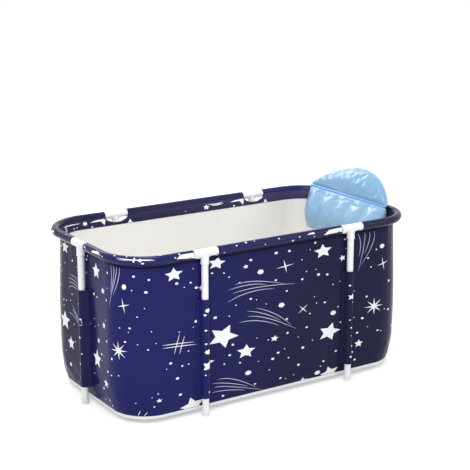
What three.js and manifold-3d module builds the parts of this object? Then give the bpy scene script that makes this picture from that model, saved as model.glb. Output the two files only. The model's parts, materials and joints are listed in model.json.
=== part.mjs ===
// Foldable bathtub: a ring of bent pipes and T-connectors on six legs carries a padded
// fabric tub, with a drain at the foot end and an inflatable pillow at the head end.
// Millimetres, +Z up. X runs along the tub with the pillow at +X, and the floor is Z = 0.

import * as THREE from "three";
import { mergeVertices } from "three/addons/utils/BufferGeometryUtils.js";
import Module from "manifold-3d";

const wasm = await Module();
wasm.setup();

// Driving dimensions of the whole tub
const bathLength = 1200;
const bathWidth = 650;
const rimAxisHeight = 560;
const rollDiameter = 30;
const rimCornerRadius = 149;
const legFromEnd = 304; // from the end of the tub to the legs of its long sides

// Gaps
const pieceGap = 0.3; // between pieces that lie against each other
const pipeFit = 0.3; // radial, between a pipe and its socket
const cutOverrun = 5; // how far a cutting shape runs past what it cuts

// Pipes, tees and feet
const pipeDiameter = 22.5;
const pipeWall = 1.5;
const teeWall = 1.7;
const teeLength = 90;
const teeStemDrop = 38; // from the rim axis to the mouth of the leg socket
const teeStopThickness = 4; // inner web that the rails meet
const socketCeilingDrop = 12.7; // from the rim axis to the top of the leg socket
const teeCollarWidth = 6;
const teeCollarHeight = 0.8;
const footHeight = 20;
const footWall = 1.6;
const footSole = 4;
const footChamfer = 2;

// Fabric wall
const skinThickness = 1;
const coreThickness = 4.5;
const linerThickness = 1;
const wallTopDrop = 22; // from the rim axis to the wall's top edge
const wallTopHeight = rimAxisHeight - wallTopDrop;
const wallBottomHeight = 28;
const baseBandTopHeight = 88; // below this the wall stands straight
const baseInset = 25; // from the rim axis to the wall, at the base band
const legInset = 14; // the same behind the legs
const neckInset = 15; // the same right under the roll
const wallBulge = 9; // how far the wall swells between two legs
const legFlatHalfWidth = 24; // flat part of the wall behind a leg
const bulgeReach = 115; // distance over which the swell grows
const panelStep = 110; // widest step of the wall's mesh
const wallLevelShares = [0, 0.12, 0.3, 0.54, 0.78, 1]; // from base band to wall top
const flareShare = 0.3; // part of that rise over which the wall flares out from the base
const swellSkewShare = 0.85; // below 1 the widest place lies under the middle

// Hem round the rim pipes
const sleeveThickness = 3;
const hemBandDrop = 12; // how far the inner band hangs below the wall's top
const hemBandThickness = 1;
const hemLipWidth = 2.2; // fabric beside the roll on the inside
const hemTuck = 2.5; // how far the fold reaches outward under the roll
const windowMargin = 3; // window length beyond the tee, at each end
const windowHalfHeight = 24;

// Base
const weltHeight = 9.7;
const weltThickness = 3.2;
const weltProud = 1; // outside the wall
const baseSheetThickness = 1.2;
const baseSheetRise = 0.4; // above the welt's lower edge
const floorFoamThickness = 10;

// Leg pockets
const pocketTopHeight = 405;
const pocketBottomHeight = 63;
const pocketFit = 1.35; // radial, round the leg
const pocketThickness = 1;
const pocketFlange = 6.8; // welded strip beside the pocket

// Drain
const drainFromEnd = 225; // from the foot end of the tub
const drainHeight = 60;
const drainBoreRadius = 10;
const drainTubeWall = 3;
const drainFlangeRadius = 24;
const drainFlangeThickness = 3;
const drainTubeReach = 17; // beyond the outer wall
const drainHoleFit = 0.4;
const drainSealThickness = 1.5;
const drainSealWidth = 9;
const strainerRadius = 13.7;
const strainerThickness = 1.2;
const strainerHoleRadius = 2.2;
const strainerHoleCircle = 7.5;
const strainerHoles = 6;
const nutThickness = 6;
const nutRadius = 20;
const nutLobeHeight = 1.2;
const nutLobes = 8;
const capWall = 3.4;
const capEndThickness = 3;
const capRibHeight = 0.7;
const capRibs = 12;

// Pillow
const pillowFromSide = 93; // from the long side of the tub to the pillow's end
const pillowHalfWidth = bathWidth / 2 - pillowFromSide;
const creaseFromEnd = 65; // from the rim axis at the head end, inward
const creaseAboveRim = 28; // above the rim axis
const creaseRadius = 2;
const headHeight = 117;
const headLeanDegrees = 41;
const headHalfThickness = 21.5;
const headArchPower = 0.88;
const headLensPower = 0.75;
const neckDrop = 153;
const neckForward = 40;
const neckFrontDepth = 36; // from the middle plane to the ribs
const neckBackDepth = 50;
const neckLensPower = 0.8;
const neckSkewPower = 0.9;
const ribCount = 5;
const ribValleyShare = 0.8; // thickness in a channel, of the thickness on a rib
const neckEndShare = 0.25; // thickness at the ends, of the thickness inside
const ribSteps = 6;
const seamHalfThickness = 1.2;
const seamWidth = 4;
const valveAcross = 110;
const valveUpShare = 0.45;
const valveFlangeRadius = 10;
const valveFlangeThickness = 1.5;
const valveBossRadius = 6;
const valveBossHeight = 5;
const valveCapRadius = 7;
const valveCapThickness = 3;
const valveTabLength = 5;
const cupAcross = [30, 104];
const cupDrop = 62; // from the rim axis to the middle of the suction cups
const cupHeightAboveFloor = rimAxisHeight - cupDrop;
const cupLipRadius = 14;
const cupLipThickness = 1.5;
const cupStemRadius = 4;
const cupStemSeat = 2.5; // how deep the stem enters the pillow
const cupBellDepth = 6;

// Facets
const railSides = 8;
const rollSides = 12;
const legSides = 12;
const barrelSides = 16;
const cornerSteps = 6;
const drainSides = 16;
const lensSteps = 7;
const holeSides = 6;
const windowSegments = 8;
const underRollSteps = 3;
const creaseSides = 8;
const cupSides = 8;
const headColumns = 22;
const pocketArcSteps = 4;

// Worked out from the sizes above
const rollRadius = rollDiameter / 2;
const pipeRadius = pipeDiameter / 2;
const socketRadius = pipeRadius + pipeFit;
const teeRadius = socketRadius + teeWall;
const halfLength = bathLength / 2 - rollRadius;
const halfWidth = bathWidth / 2 - rollRadius;
const sideStraight = halfLength - rimCornerRadius;
const endStraight = halfWidth - rimCornerRadius;
const legX = bathLength / 2 - legFromEnd;
const drainX = drainFromEnd - bathLength / 2;
const halfTee = teeLength / 2;
const halfStop = teeStopThickness / 2;
const wallStack = skinThickness + coreThickness + linerThickness + 2 * pieceGap;
const weltBottom = wallBottomHeight - pieceGap - weltHeight;
const sheetInset = baseInset - weltProud + weltThickness + pieceGap;
const sheetBottom = weltBottom + baseSheetRise;
const foamBottom = sheetBottom + baseSheetThickness + pieceGap;
const foamTop = foamBottom + floorFoamThickness;
const linerFloor = foamTop + pieceGap;
const headLean = THREE.MathUtils.degToRad(headLeanDegrees);
const creaseX = halfLength - creaseFromEnd;
const creaseZ = rimAxisHeight + creaseAboveRim;

// Mesh helpers

/** Turn a mesh's faces outward if its volume comes out negative. */
function facingOut(geometry) {
  const p = geometry.getAttribute("position");
  const index = geometry.getIndex();
  const [a, b, c] = [new THREE.Vector3(), new THREE.Vector3(), new THREE.Vector3()];
  let volume = 0;
  for (let i = 0; i < index.count; i += 3) {
    a.fromBufferAttribute(p, index.getX(i));
    b.fromBufferAttribute(p, index.getX(i + 1));
    c.fromBufferAttribute(p, index.getX(i + 2));
    volume += a.dot(b.cross(c));
  }
  if (volume < 0) {
    for (let i = 0; i < index.count; i += 3) {
      const first = index.getX(i);
      index.setX(i, index.getX(i + 1));
      index.setX(i + 1, first);
    }
  }
  geometry.computeVertexNormals();
  return geometry;
}

/** Triangles that fill a flat closed loop of points, as triples of places in the loop. */
function fillLoop(loop) {
  const normal = new THREE.Vector3();
  loop.forEach((p, k) => normal.add(p.clone().cross(loop[(k + 1) % loop.length])));
  normal.normalize();
  const unit = Math.abs(normal.x) < Math.SQRT1_2 ? [1, 0, 0] : [0, 1, 0];
  const u = new THREE.Vector3(...unit).projectOnPlane(normal).normalize();
  const v = new THREE.Vector3().crossVectors(normal, u);
  const flat = loop.map((p) => new THREE.Vector2(p.dot(u), p.dot(v)));
  return THREE.ShapeUtils.triangulateShape(flat, []);
}

/**
 * Skin rows of points, each row a closed loop. The rows close on themselves or are capped.
 * Every four-sided patch is split along the line that climbs from row to row, so that two
 * layers drawn on the same rows never cross.
 */
function loft(rows, { capped }) {
  const width = rows[0].length;
  const positions = rows.flat().flatMap((p) => [p.x, p.y, p.z]);
  const triangles = [];
  const bands = capped ? rows.length - 1 : rows.length;
  for (let row = 0; row < bands; row += 1) {
    const next = (row + 1) % rows.length;
    for (let k = 0; k < width; k += 1) {
      const step = (k + 1) % width;
      const [a, b] = [row * width + k, row * width + step];
      const [c, d] = [next * width + step, next * width + k];
      const rises = rows[row][step].z >= rows[row][k].z;
      if (rises) triangles.push(a, b, c, a, c, d);
      else triangles.push(a, b, d, b, c, d);
    }
  }
  if (capped) {
    const last = (rows.length - 1) * width;
    for (const [a, b, c] of fillLoop(rows[0])) triangles.push(c, b, a);
    const end = fillLoop(rows[rows.length - 1]);
    for (const [a, b, c] of end) triangles.push(last + a, last + b, last + c);
  }
  const geometry = new THREE.BufferGeometry();
  geometry.setAttribute("position", new THREE.Float32BufferAttribute(positions, 3));
  geometry.setIndex(triangles);
  return facingOut(geometry);
}

/** A closed mesh as a solid that can be joined and cut. */
function toSolid(geometry) {
  const bare = geometry.clone();
  bare.deleteAttribute("normal");
  bare.deleteAttribute("uv");
  const merged = mergeVertices(bare);
  return new wasm.Manifold(
    new wasm.Mesh({
      numProp: 3,
      vertProperties: new Float32Array(merged.getAttribute("position").array),
      triVerts: new Uint32Array(merged.getIndex().array),
    }),
  );
}

/** A solid back as a mesh geometry. */
function toGeometry(solid) {
  const mesh = solid.getMesh();
  const geometry = new THREE.BufferGeometry();
  geometry.setAttribute("position", new THREE.BufferAttribute(mesh.vertProperties, 3));
  geometry.setIndex(new THREE.BufferAttribute(mesh.triVerts, 1));
  geometry.computeVertexNormals();
  return geometry;
}

/** Cut shapes out of a geometry. */
function cut(geometry, ...tools) {
  let solid = toSolid(geometry);
  for (const tool of tools) solid = solid.subtract(toSolid(tool));
  return toGeometry(solid);
}

/** Join geometries into one. */
function join(first, ...others) {
  let solid = toSolid(first);
  for (const other of others) solid = solid.add(toSolid(other));
  return toGeometry(solid);
}

/** Turn a profile of [radius, height] pairs round the Z axis. */
function turned(profile, sides) {
  const points = profile.map(([radius, height]) => new THREE.Vector2(radius, height));
  const onAxis = profile[0][0] === 0 && profile[profile.length - 1][0] === 0;
  if (!onAxis) points.push(points[0].clone());
  const lathe = new THREE.LatheGeometry(points, sides);
  lathe.rotateX(Math.PI / 2);
  lathe.deleteAttribute("normal");
  lathe.deleteAttribute("uv");
  return facingOut(mergeVertices(lathe));
}

/** A plain round bar on the Z axis. */
function bar(radius, bottom, top, sides) {
  return turned([[0, bottom], [radius, bottom], [radius, top], [0, top]], sides);
}

/** A disc with a wavy edge, extruded along Z. */
function lobedDisc(radius, lobeHeight, lobes, bottom, top) {
  const stepsPerLobe = 4;
  const count = lobes * stepsPerLobe;
  const outline = Array.from({ length: count }, (_, i) => {
    const angle = (2 * Math.PI * i) / count;
    const reach = radius + lobeHeight * Math.cos(lobes * angle);
    return new THREE.Vector2(reach * Math.cos(angle), reach * Math.sin(angle));
  });
  const disc = new THREE.ExtrudeGeometry(new THREE.Shape(outline), {
    depth: top - bottom,
    bevelEnabled: false,
  });
  return disc.translate(0, 0, bottom);
}

// The rim's centre line

/** A place on the rim: a point in plan and the direction that faces out of the tub. */
const place = (x, y, outX, outY) => ({ x, y, outX, outY });

/** The corner's arc from the long side to the end, at a corner given by its two signs. */
function cornerArc(signX, signY) {
  return Array.from({ length: cornerSteps + 1 }, (_, i) => {
    const angle = (Math.PI / 2) * (i / cornerSteps);
    const outX = signX * Math.sin(angle);
    const outY = signY * Math.cos(angle);
    const x = signX * sideStraight + rimCornerRadius * outX;
    const y = signY * endStraight + rimCornerRadius * outY;
    return place(x, y, outX, outY);
  });
}

/** Break points along a straight edge of the rim, dense enough for the wall's swell. */
function edgeStops(halfEdge, legPlaces) {
  const breaks = [-halfEdge];
  for (const leg of legPlaces) breaks.push(leg - legFlatHalfWidth, leg + legFlatHalfWidth);
  breaks.push(halfEdge);
  const stops = [];
  for (let i = 0; i + 1 < breaks.length; i += 1) {
    const span = breaks[i + 1] - breaks[i];
    const parts = Math.ceil(span / panelStep);
    for (let k = 0; k < parts; k += 1) stops.push(breaks[i] + (span * k) / parts);
  }
  stops.push(halfEdge);
  return stops;
}

const sideStops = edgeStops(sideStraight, [-legX, legX]);
const endStops = edgeStops(endStraight, [0]);
const arcLength = (Math.PI / 2) * rimCornerRadius;

/** How far a place lies from the nearest leg, as a share of the full swell. */
function swellShare(distance) {
  const beyond = Math.max(0, distance - legFlatHalfWidth);
  return 1 - Math.exp(-((beyond / bulgeReach) ** 2));
}

/** The stations round the whole tub, counter-clockwise from above, from the front left. */
function wallStations() {
  const stations = [];
  const add = (at, distance) => stations.push({ ...at, swell: swellShare(distance) });
  const side = (signY) => {
    const stops = signY < 0 ? sideStops : [...sideStops].reverse();
    for (const x of stops) {
      const distance = Math.min(Math.abs(x - legX), Math.abs(x + legX));
      add(place(x, signY * halfWidth, 0, signY), distance);
    }
  };
  const end = (signX) => {
    const stops = signX > 0 ? endStops : [...endStops].reverse();
    for (const y of stops) add(place(signX * halfLength, y, signX, 0), Math.abs(y));
  };
  const corner = (signX, signY, fromSide) => {
    const arc = cornerArc(signX, signY);
    const inner = arc.slice(1, -1).map((at, i) => {
      const along = (arcLength * (i + 1)) / cornerSteps;
      const toSideLeg = sideStraight - legX + along;
      const toEndLeg = endStraight + arcLength - along;
      return [at, Math.min(toSideLeg, toEndLeg)];
    });
    if (!fromSide) inner.reverse();
    for (const [at, distance] of inner) add(at, distance);
  };
  side(-1);
  corner(1, -1, true);
  end(1);
  corner(1, 1, false);
  side(1);
  corner(-1, 1, true);
  end(-1);
  corner(-1, -1, false);
  return stations;
}

const stations = wallStations();

/** A point at a station: so far inside the rim's centre line, and so high. */
function inside(station, inset, z) {
  return new THREE.Vector3(
    station.x - inset * station.outX,
    station.y - inset * station.outY,
    z,
  );
}

/** A closed band round the tub whose section at each station is a loop of [inset, z]. */
function bandRound(section) {
  const rows = stations.map((s) => section(s).map(([inset, z]) => inside(s, inset, z)));
  return loft(rows, { capped: false });
}

/** A body stacked from plan outlines, each a pair of inset and height, closed at both ends. */
function stackOf(levels) {
  const rows = levels.map((level) => stations.map((s) => inside(s, ...level(s))));
  return loft(rows, { capped: true });
}

// Fabric wall

/** The heights at which the wall is drawn, from its lower edge up. */
const wallHeights = [
  wallBottomHeight,
  ...wallLevelShares.map((share) => {
    return baseBandTopHeight + share * (wallTopHeight - baseBandTopHeight);
  }),
];

/** The wall's inset at a height, for a share of the swell: straight, then swelling. */
function wallInset(z, swell) {
  if (z <= baseBandTopHeight) return baseInset;
  const rise = (z - baseBandTopHeight) / (wallTopHeight - baseBandTopHeight);
  const flare = THREE.MathUtils.smoothstep(rise, 0, flareShare);
  const upright = legInset + (neckInset - legInset) * rise ** 2;
  const belly = wallBulge * swell * Math.sin(Math.PI * rise ** swellSkewShare);
  return baseInset + (upright - baseInset) * flare - belly;
}

/** One layer of the wall, from an outer depth to an inner depth, above a lower edge. */
function wallLayer(outerDepth, innerDepth, bottom) {
  const heights = [bottom, ...wallHeights.filter((z) => z > bottom)];
  return bandRound((s) => [
    ...heights.map((z) => [wallInset(z, s.swell) + outerDepth, z]),
    ...[...heights].reverse().map((z) => [wallInset(z, s.swell) + innerDepth, z]),
  ]);
}

const coreDepth = skinThickness + pieceGap;
const linerDepth = coreDepth + coreThickness + pieceGap;

/** The drain hole through the wall, along Y at the back. */
function drainHole() {
  const radius = drainBoreRadius + drainTubeWall + drainHoleFit;
  const reach = wallStack + cutOverrun;
  const hole = bar(radius, -reach, reach, drainSides);
  return placeOnBackWall(hole);
}

/** Move a shape made round +Z onto the drain's axis, its zero on the outer wall. */
function placeOnBackWall(geometry) {
  geometry.rotateX(-Math.PI / 2);
  return geometry.translate(drainX, halfWidth - baseInset, drainHeight);
}

function outerSkin() {
  return cut(wallLayer(0, skinThickness, wallBottomHeight), drainHole());
}

function insulationCore() {
  return cut(wallLayer(coreDepth, coreDepth + coreThickness, linerFloor), drainHole());
}

/** The liner: wall and floor in one piece, open at the top. */
function innerLiner() {
  const heights = wallHeights.filter((z) => z > linerFloor + linerThickness);
  const outer = [linerFloor, ...heights];
  const inner = [...heights].reverse();
  const wall = (depth) => (z) => (s) => [wallInset(z, s.swell) + depth, z];
  const floorInside = (s) => [
    baseInset + linerDepth + linerThickness,
    linerFloor + linerThickness,
  ];
  const tray = stackOf([
    ...outer.map(wall(linerDepth)),
    ...inner.map(wall(linerDepth + linerThickness)),
    floorInside,
  ]);
  return cut(tray, drainHole());
}

// Hem

/** The folded edge under the roll, with the band that shows inside the tub. */
function hemRing() {
  const clear = rollRadius + pieceGap;
  const outward = neckInset - pieceGap - hemTuck;
  const startAngle = Math.acos(outward / clear);
  const underRoll = Array.from({ length: underRollSteps + 1 }, (_, i) => {
    const angle = startAngle * (1 - i / underRollSteps);
    return [clear * Math.cos(angle), rimAxisHeight - clear * Math.sin(angle)];
  });
  const bandInner = neckInset + wallStack + pieceGap;
  const bandOuter = bandInner + hemBandThickness;
  const bottom = wallTopHeight + pieceGap;
  const bandBottom = wallTopHeight - hemBandDrop;
  const section = [
    [neckInset - pieceGap, bottom],
    ...underRoll,
    [clear + hemLipWidth, rimAxisHeight],
    [bandOuter, rimAxisHeight - rollRadius],
    [bandOuter, bandBottom],
    [bandInner, bandBottom],
    [bandInner, bottom],
  ];
  const tools = teePlaces.flatMap(({ at, turn }) => {
    const windowCut = hemWindow().rotateZ(turn).translate(at.x, at.y, rimAxisHeight);
    const stemRadius = teeRadius + teeCollarHeight + pieceGap;
    const stemCut = bar(stemRadius, wallTopHeight - cutOverrun, rimAxisHeight, barrelSides);
    return [windowCut, stemCut.translate(at.x, at.y, 0)];
  });
  return cut(bandRound(() => section), ...tools);
}

/** The half-oval window that leaves a tee bare on the inside, for a tee facing -Y. */
function hemWindow() {
  const oval = new THREE.Shape();
  oval.absellipse(0, 0, halfTee + windowMargin, windowHalfHeight, 0, 2 * Math.PI);
  const depth = wallStack + hemBandThickness + cutOverrun;
  const window = new THREE.ExtrudeGeometry(oval, {
    depth,
    bevelEnabled: false,
    curveSegments: windowSegments,
  });
  window.rotateX(Math.PI / 2);
  return window.translate(0, rollRadius + 2 * pieceGap + depth, 0);
}

// Pipes that follow the rim

/** A pipe along a run of places at the rim's height. */
function pipeAlong(run, outerRadius, innerRadius, sides) {
  const ring = (at, radius) =>
    Array.from({ length: sides }, (_, k) => {
      const angle = (2 * Math.PI * k) / sides;
      const z = rimAxisHeight + radius * Math.sin(angle);
      return inside(at, radius * Math.cos(angle), z);
    });
  const outer = run.map((at) => ring(at, outerRadius));
  const inner = [...run].reverse().map((at) => ring(at, innerRadius));
  return loft([...outer, ...inner], { capped: false });
}

/** The straight run along a long side, keeping so far from the tees' middles. */
function sideRun(signY, clearOfTee) {
  const reach = legX - clearOfTee;
  return [-reach, reach].map((x) => place(x, signY * halfWidth, 0, signY));
}

/** The run round a corner, keeping so far from the tees' middles. */
function cornerRun(signX, signY, clearOfTee) {
  return [
    place(signX * (legX + clearOfTee), signY * halfWidth, 0, signY),
    ...cornerArc(signX, signY),
    place(signX * halfLength, signY * clearOfTee, signX, 0),
  ];
}

const railRun = halfStop + pieceGap;
const sleeveRun = halfTee + pieceGap;

const rail = (run) => pipeAlong(run, pipeRadius, pipeRadius - pipeWall, railSides);
const sleeve = (run) => {
  return pipeAlong(run, rollRadius, rollRadius - sleeveThickness, rollSides);
};

// Tees, legs and feet

/** Where the six tees and legs stand, and how each is turned from facing -Y. */
const teePlaces = [
  { name: "front_left", at: place(-legX, -halfWidth, 0, -1), turn: 0 },
  { name: "front_right", at: place(legX, -halfWidth, 0, -1), turn: 0 },
  { name: "right_end", at: place(halfLength, 0, 1, 0), turn: Math.PI / 2 },
  { name: "back_right", at: place(legX, halfWidth, 0, 1), turn: Math.PI },
  { name: "back_left", at: place(-legX, halfWidth, 0, 1), turn: Math.PI },
  { name: "left_end", at: place(-halfLength, 0, -1, 0), turn: -Math.PI / 2 },
];

/** A bar along X at the origin, its corners in line with those of the rim pipes. */
function crossBar(radius, from, to, sides) {
  const row = (x) =>
    Array.from({ length: sides }, (_, k) => {
      const angle = (2 * Math.PI * k) / sides;
      return new THREE.Vector3(x, radius * Math.cos(angle), radius * Math.sin(angle));
    });
  return loft([row(from), row(to)], { capped: true });
}

/** A T-connector with a barrel along X, a socket for the leg and a collar at each mouth. */
function teeConnector() {
  const collarRadius = teeRadius + teeCollarHeight;
  const body = join(
    crossBar(teeRadius, -halfTee, halfTee, barrelSides),
    crossBar(collarRadius, -halfTee, teeCollarWidth - halfTee, barrelSides),
    crossBar(collarRadius, halfTee - teeCollarWidth, halfTee, barrelSides),
    bar(teeRadius, -teeStemDrop, 0, barrelSides),
    bar(collarRadius, -teeStemDrop, teeCollarWidth - teeStemDrop, barrelSides),
  );
  return cut(
    body,
    crossBar(socketRadius, -halfTee - cutOverrun, -halfStop, railSides),
    crossBar(socketRadius, halfStop, halfTee + cutOverrun, railSides),
    bar(socketRadius, -teeStemDrop - cutOverrun, -socketCeilingDrop, legSides),
  );
}

/** A leg: an open pipe from inside its foot up into its tee. */
function legPipe() {
  const bottom = footSole + pieceGap;
  const top = rimAxisHeight - socketCeilingDrop - pieceGap;
  const bore = pipeRadius - pipeWall;
  return turned([[bore, bottom], [pipeRadius, bottom], [pipeRadius, top], [bore, top]], legSides);
}

/** A foot: a cup pushed over the leg's lower end. */
function footCap() {
  const radius = socketRadius + footWall;
  return turned(
    [
      [0, 0],
      [radius - footChamfer, 0],
      [radius, footChamfer],
      [radius, footHeight],
      [socketRadius, footHeight],
      [socketRadius, footSole],
      [0, footSole],
    ],
    legSides,
  );
}

/** A pocket for a leg that faces -Y: an arch over the leg with a welded strip each side. */
function legPocket() {
  const bore = pipeRadius + pocketFit;
  const outside = bore + pocketThickness;
  const arch = (radius) =>
    Array.from({ length: pocketArcSteps + 1 }, (_, i) => {
      const angle = Math.PI * (1 - i / pocketArcSteps);
      return [radius * Math.cos(angle), radius * Math.sin(angle)];
    });
  const heights = [
    pocketBottomHeight,
    ...wallHeights.filter((z) => z > pocketBottomHeight && z < pocketTopHeight),
    pocketTopHeight,
  ];
  const rows = heights.map((z) => {
    const seat = pieceGap - wallInset(z, 0);
    const edge = outside + pocketFlange;
    const section = [
      [-edge, seat],
      [-bore, seat],
      ...arch(bore),
      [bore, seat],
      [edge, seat],
      [edge, seat + pocketThickness],
      [outside, seat + pocketThickness],
      ...arch(outside).reverse(),
      [-outside, seat + pocketThickness],
      [-edge, seat + pocketThickness],
    ];
    return section.map(([across, outward]) => new THREE.Vector3(across, -outward, z));
  });
  return loft(rows, { capped: true });
}

// Base

function baseWelt() {
  const outer = baseInset - weltProud;
  const inner = outer + weltThickness;
  const top = weltBottom + weltHeight;
  return bandRound(() => [
    [outer, weltBottom],
    [outer, top],
    [inner, top],
    [inner, weltBottom],
  ]);
}

/** A flat plate that fills the base inside the welt. */
function basePlate(bottom, top) {
  return stackOf([() => [sheetInset, bottom], () => [sheetInset, top]]);
}

// Drain, with distances along its axis counted from the outer wall

const sealOuterFace = -wallStack - pieceGap;
const sealInnerFace = sealOuterFace - drainSealThickness;
const flangeOuterFace = sealInnerFace - pieceGap;
const flangeInnerFace = flangeOuterFace - drainFlangeThickness;
const drainTubeRadius = drainBoreRadius + drainTubeWall;

function drainBody() {
  const recessRadius = strainerRadius + pieceGap;
  const ledge = flangeInnerFace + strainerThickness + pieceGap;
  return placeOnBackWall(
    turned(
      [
        [drainBoreRadius, ledge],
        [recessRadius, ledge],
        [recessRadius, flangeInnerFace],
        [drainFlangeRadius, flangeInnerFace],
        [drainFlangeRadius, flangeOuterFace],
        [drainTubeRadius, flangeOuterFace],
        [drainTubeRadius, drainTubeReach],
        [drainBoreRadius, drainTubeReach],
      ],
      drainSides,
    ),
  );
}

function drainSeal() {
  const bore = drainTubeRadius + drainHoleFit;
  const radius = bore + drainSealWidth;
  const profile = [
    [bore, sealInnerFace],
    [radius, sealInnerFace],
    [radius, sealOuterFace],
    [bore, sealOuterFace],
  ];
  return placeOnBackWall(turned(profile, drainSides));
}

function drainStrainer() {
  const top = flangeInnerFace + strainerThickness;
  const disc = bar(strainerRadius, flangeInnerFace, top, drainSides);
  const hole = () => {
    return bar(strainerHoleRadius, flangeInnerFace - cutOverrun, top + cutOverrun, holeSides);
  };
  const ring = Array.from({ length: strainerHoles }, (_, i) => {
    return hole().translate(strainerHoleCircle, 0, 0).rotateZ((2 * Math.PI * i) / strainerHoles);
  });
  return placeOnBackWall(cut(disc, hole(), ...ring));
}

function drainNut() {
  const bottom = pieceGap;
  const ring = lobedDisc(nutRadius, nutLobeHeight, nutLobes, bottom, bottom + nutThickness);
  const boreRadius = drainTubeRadius + drainHoleFit;
  const bore = bar(boreRadius, -cutOverrun, nutThickness + cutOverrun, drainSides);
  return placeOnBackWall(cut(ring, bore));
}

function drainCap() {
  const bottom = nutThickness + 2 * pieceGap;
  const ceiling = drainTubeReach + pieceGap;
  const boreRadius = drainTubeRadius + drainHoleFit;
  const outside = boreRadius + capWall;
  const cup = lobedDisc(outside, capRibHeight, capRibs, bottom, ceiling + capEndThickness);
  return placeOnBackWall(cut(cup, bar(boreRadius, bottom - cutOverrun, ceiling, drainSides)));
}

// Pillow

const lensStops = Array.from({ length: lensSteps + 1 }, (_, i) => {
  return (1 - Math.cos((Math.PI * i) / lensSteps)) / 2;
});

/** Directions in the pillow's section: up the head, and out of its back. */
const headUp = new THREE.Vector3(Math.sin(headLean), 0, Math.cos(headLean));
const headBack = new THREE.Vector3(Math.cos(headLean), 0, -Math.sin(headLean));

/** The head's height above the crease: an arch across the tub. */
const headReach = (across) => {
  const arch = Math.max(0, 1 - (across / pillowHalfWidth) ** 2);
  return headHeight * arch ** headArchPower;
};

/** Half the head's thickness at a share of its height: a lens, thinner to the sides. */
function headHalfDepth(across, share) {
  const side = Math.sqrt(Math.max(0, 1 - (across / pillowHalfWidth) ** 2));
  return seamHalfThickness + headHalfThickness * side * (4 * share * (1 - share)) ** headLensPower;
}

function headPoint(across, share, depth) {
  const start = creaseRadius + pieceGap;
  const up = start + share * headReach(across);
  return new THREE.Vector3(creaseX, across, creaseZ)
    .addScaledVector(headUp, up)
    .addScaledVector(headBack, depth);
}

/** The upper lobe: one crowned chamber with a flat seam round it. */
function pillowHead() {
  const widest = pillowHalfWidth - seamWidth;
  const rows = Array.from({ length: headColumns + 1 }, (_, i) => {
    const across = widest * -Math.cos((Math.PI * i) / headColumns);
    const front = lensStops.map((s) => headPoint(across, s, -headHalfDepth(across, s)));
    const back = lensStops.map((s) => headPoint(across, s, headHalfDepth(across, s)));
    return [...front, ...back.reverse()];
  });
  return cut(loft(rows, { capped: true }), onValve(valveSeat()));
}

/** The neck's section runs from the crease down and forward. */
const neckLength = Math.hypot(neckDrop, neckForward);
const neckDown = new THREE.Vector3(-neckForward, 0, -neckDrop).divideScalar(neckLength);
const neckBack = new THREE.Vector3(neckDrop, 0, -neckForward).divideScalar(neckLength);

const ribSpacing = (2 * pillowHalfWidth) / ribCount;

/** How thick the neck is across the tub: round ribs, and ends that close in. */
function ribProfile(across) {
  const crown = Math.abs(Math.sin((Math.PI * (across + pillowHalfWidth)) / ribSpacing));
  const fromEnd = Math.min(1, (pillowHalfWidth - Math.abs(across)) / (ribSpacing / 2));
  const closing = neckEndShare + (1 - neckEndShare) * Math.sqrt(1 - (1 - fromEnd) ** 2);
  return closing * (ribValleyShare + (1 - ribValleyShare) * Math.sqrt(crown));
}

/** The distance from the neck's middle plane to a face that lies so deep at its crown. */
function neckHalfDepth(across, share, crownDepth) {
  const lens = Math.sin(Math.PI * share ** neckSkewPower) ** neckLensPower;
  return seamHalfThickness + crownDepth * ribProfile(across) * lens;
}

function neckPoint(across, share, depth) {
  const start = creaseRadius + pieceGap;
  return new THREE.Vector3(creaseX, across, creaseZ)
    .addScaledVector(neckDown, start + share * (neckLength - start))
    .addScaledVector(neckBack, depth);
}

/** The lower lobe: upright ribs side by side, with channels between them. */
function pillowNeck() {
  const columns = ribCount * ribSteps;
  const rows = Array.from({ length: columns + 1 }, (_, i) => {
    const across = pillowHalfWidth * ((2 * i) / columns - 1);
    const face = (depth, side) =>
      lensStops.map((s) => neckPoint(across, s, side * neckHalfDepth(across, s, depth)));
    return [...face(neckFrontDepth, -1), ...face(neckBackDepth, 1).reverse()];
  });
  const seats = cupPlaces.map((cup) => cupSeat(cup));
  return cut(loft(rows, { capped: true }), ...seats);
}

/** The welded line between the two lobes, a thin cord of film. */
function pillowCrease() {
  const half = pillowHalfWidth - seamWidth;
  const weld = bar(creaseRadius, -half, half, creaseSides).rotateX(Math.PI / 2);
  return weld.translate(creaseX, 0, creaseZ);
}

/** Put a shape made round +Z onto the valve's axis, on the head's back. */
function onValve(geometry) {
  const depth = headHalfDepth(valveAcross, valveUpShare) - valveFlangeThickness;
  const at = headPoint(valveAcross, valveUpShare, depth);
  const turn = new THREE.Quaternion().setFromUnitVectors(new THREE.Vector3(0, 0, 1), headBack);
  geometry.applyQuaternion(turn);
  return geometry.translate(at.x, at.y, at.z);
}

/** The recess that the valve's flange lies in. */
function valveSeat() {
  const radius = valveFlangeRadius + pieceGap;
  return bar(radius, -pieceGap, valveFlangeThickness + cutOverrun, drainSides);
}

function pillowValve() {
  const top = valveFlangeThickness + valveBossHeight;
  return onValve(
    turned(
      [
        [0, 0],
        [valveFlangeRadius, 0],
        [valveFlangeRadius, valveFlangeThickness],
        [valveBossRadius, valveFlangeThickness],
        [valveBossRadius, top],
        [0, top],
      ],
      legSides,
    ),
  );
}

/** The valve's cap with a pull tab, which turns on the tab's root. */
function pillowValveCap() {
  const bottom = valveFlangeThickness + valveBossHeight + pieceGap;
  const top = bottom + valveCapThickness;
  const disc = bar(valveCapRadius, bottom, top, legSides);
  const tabWidth = valveCapRadius;
  const tab = new THREE.BoxGeometry(tabWidth, valveCapRadius + valveTabLength, valveCapThickness);
  tab.translate(0, (valveCapRadius + valveTabLength) / 2, (bottom + top) / 2);
  return onValve(join(disc, tab));
}

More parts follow.
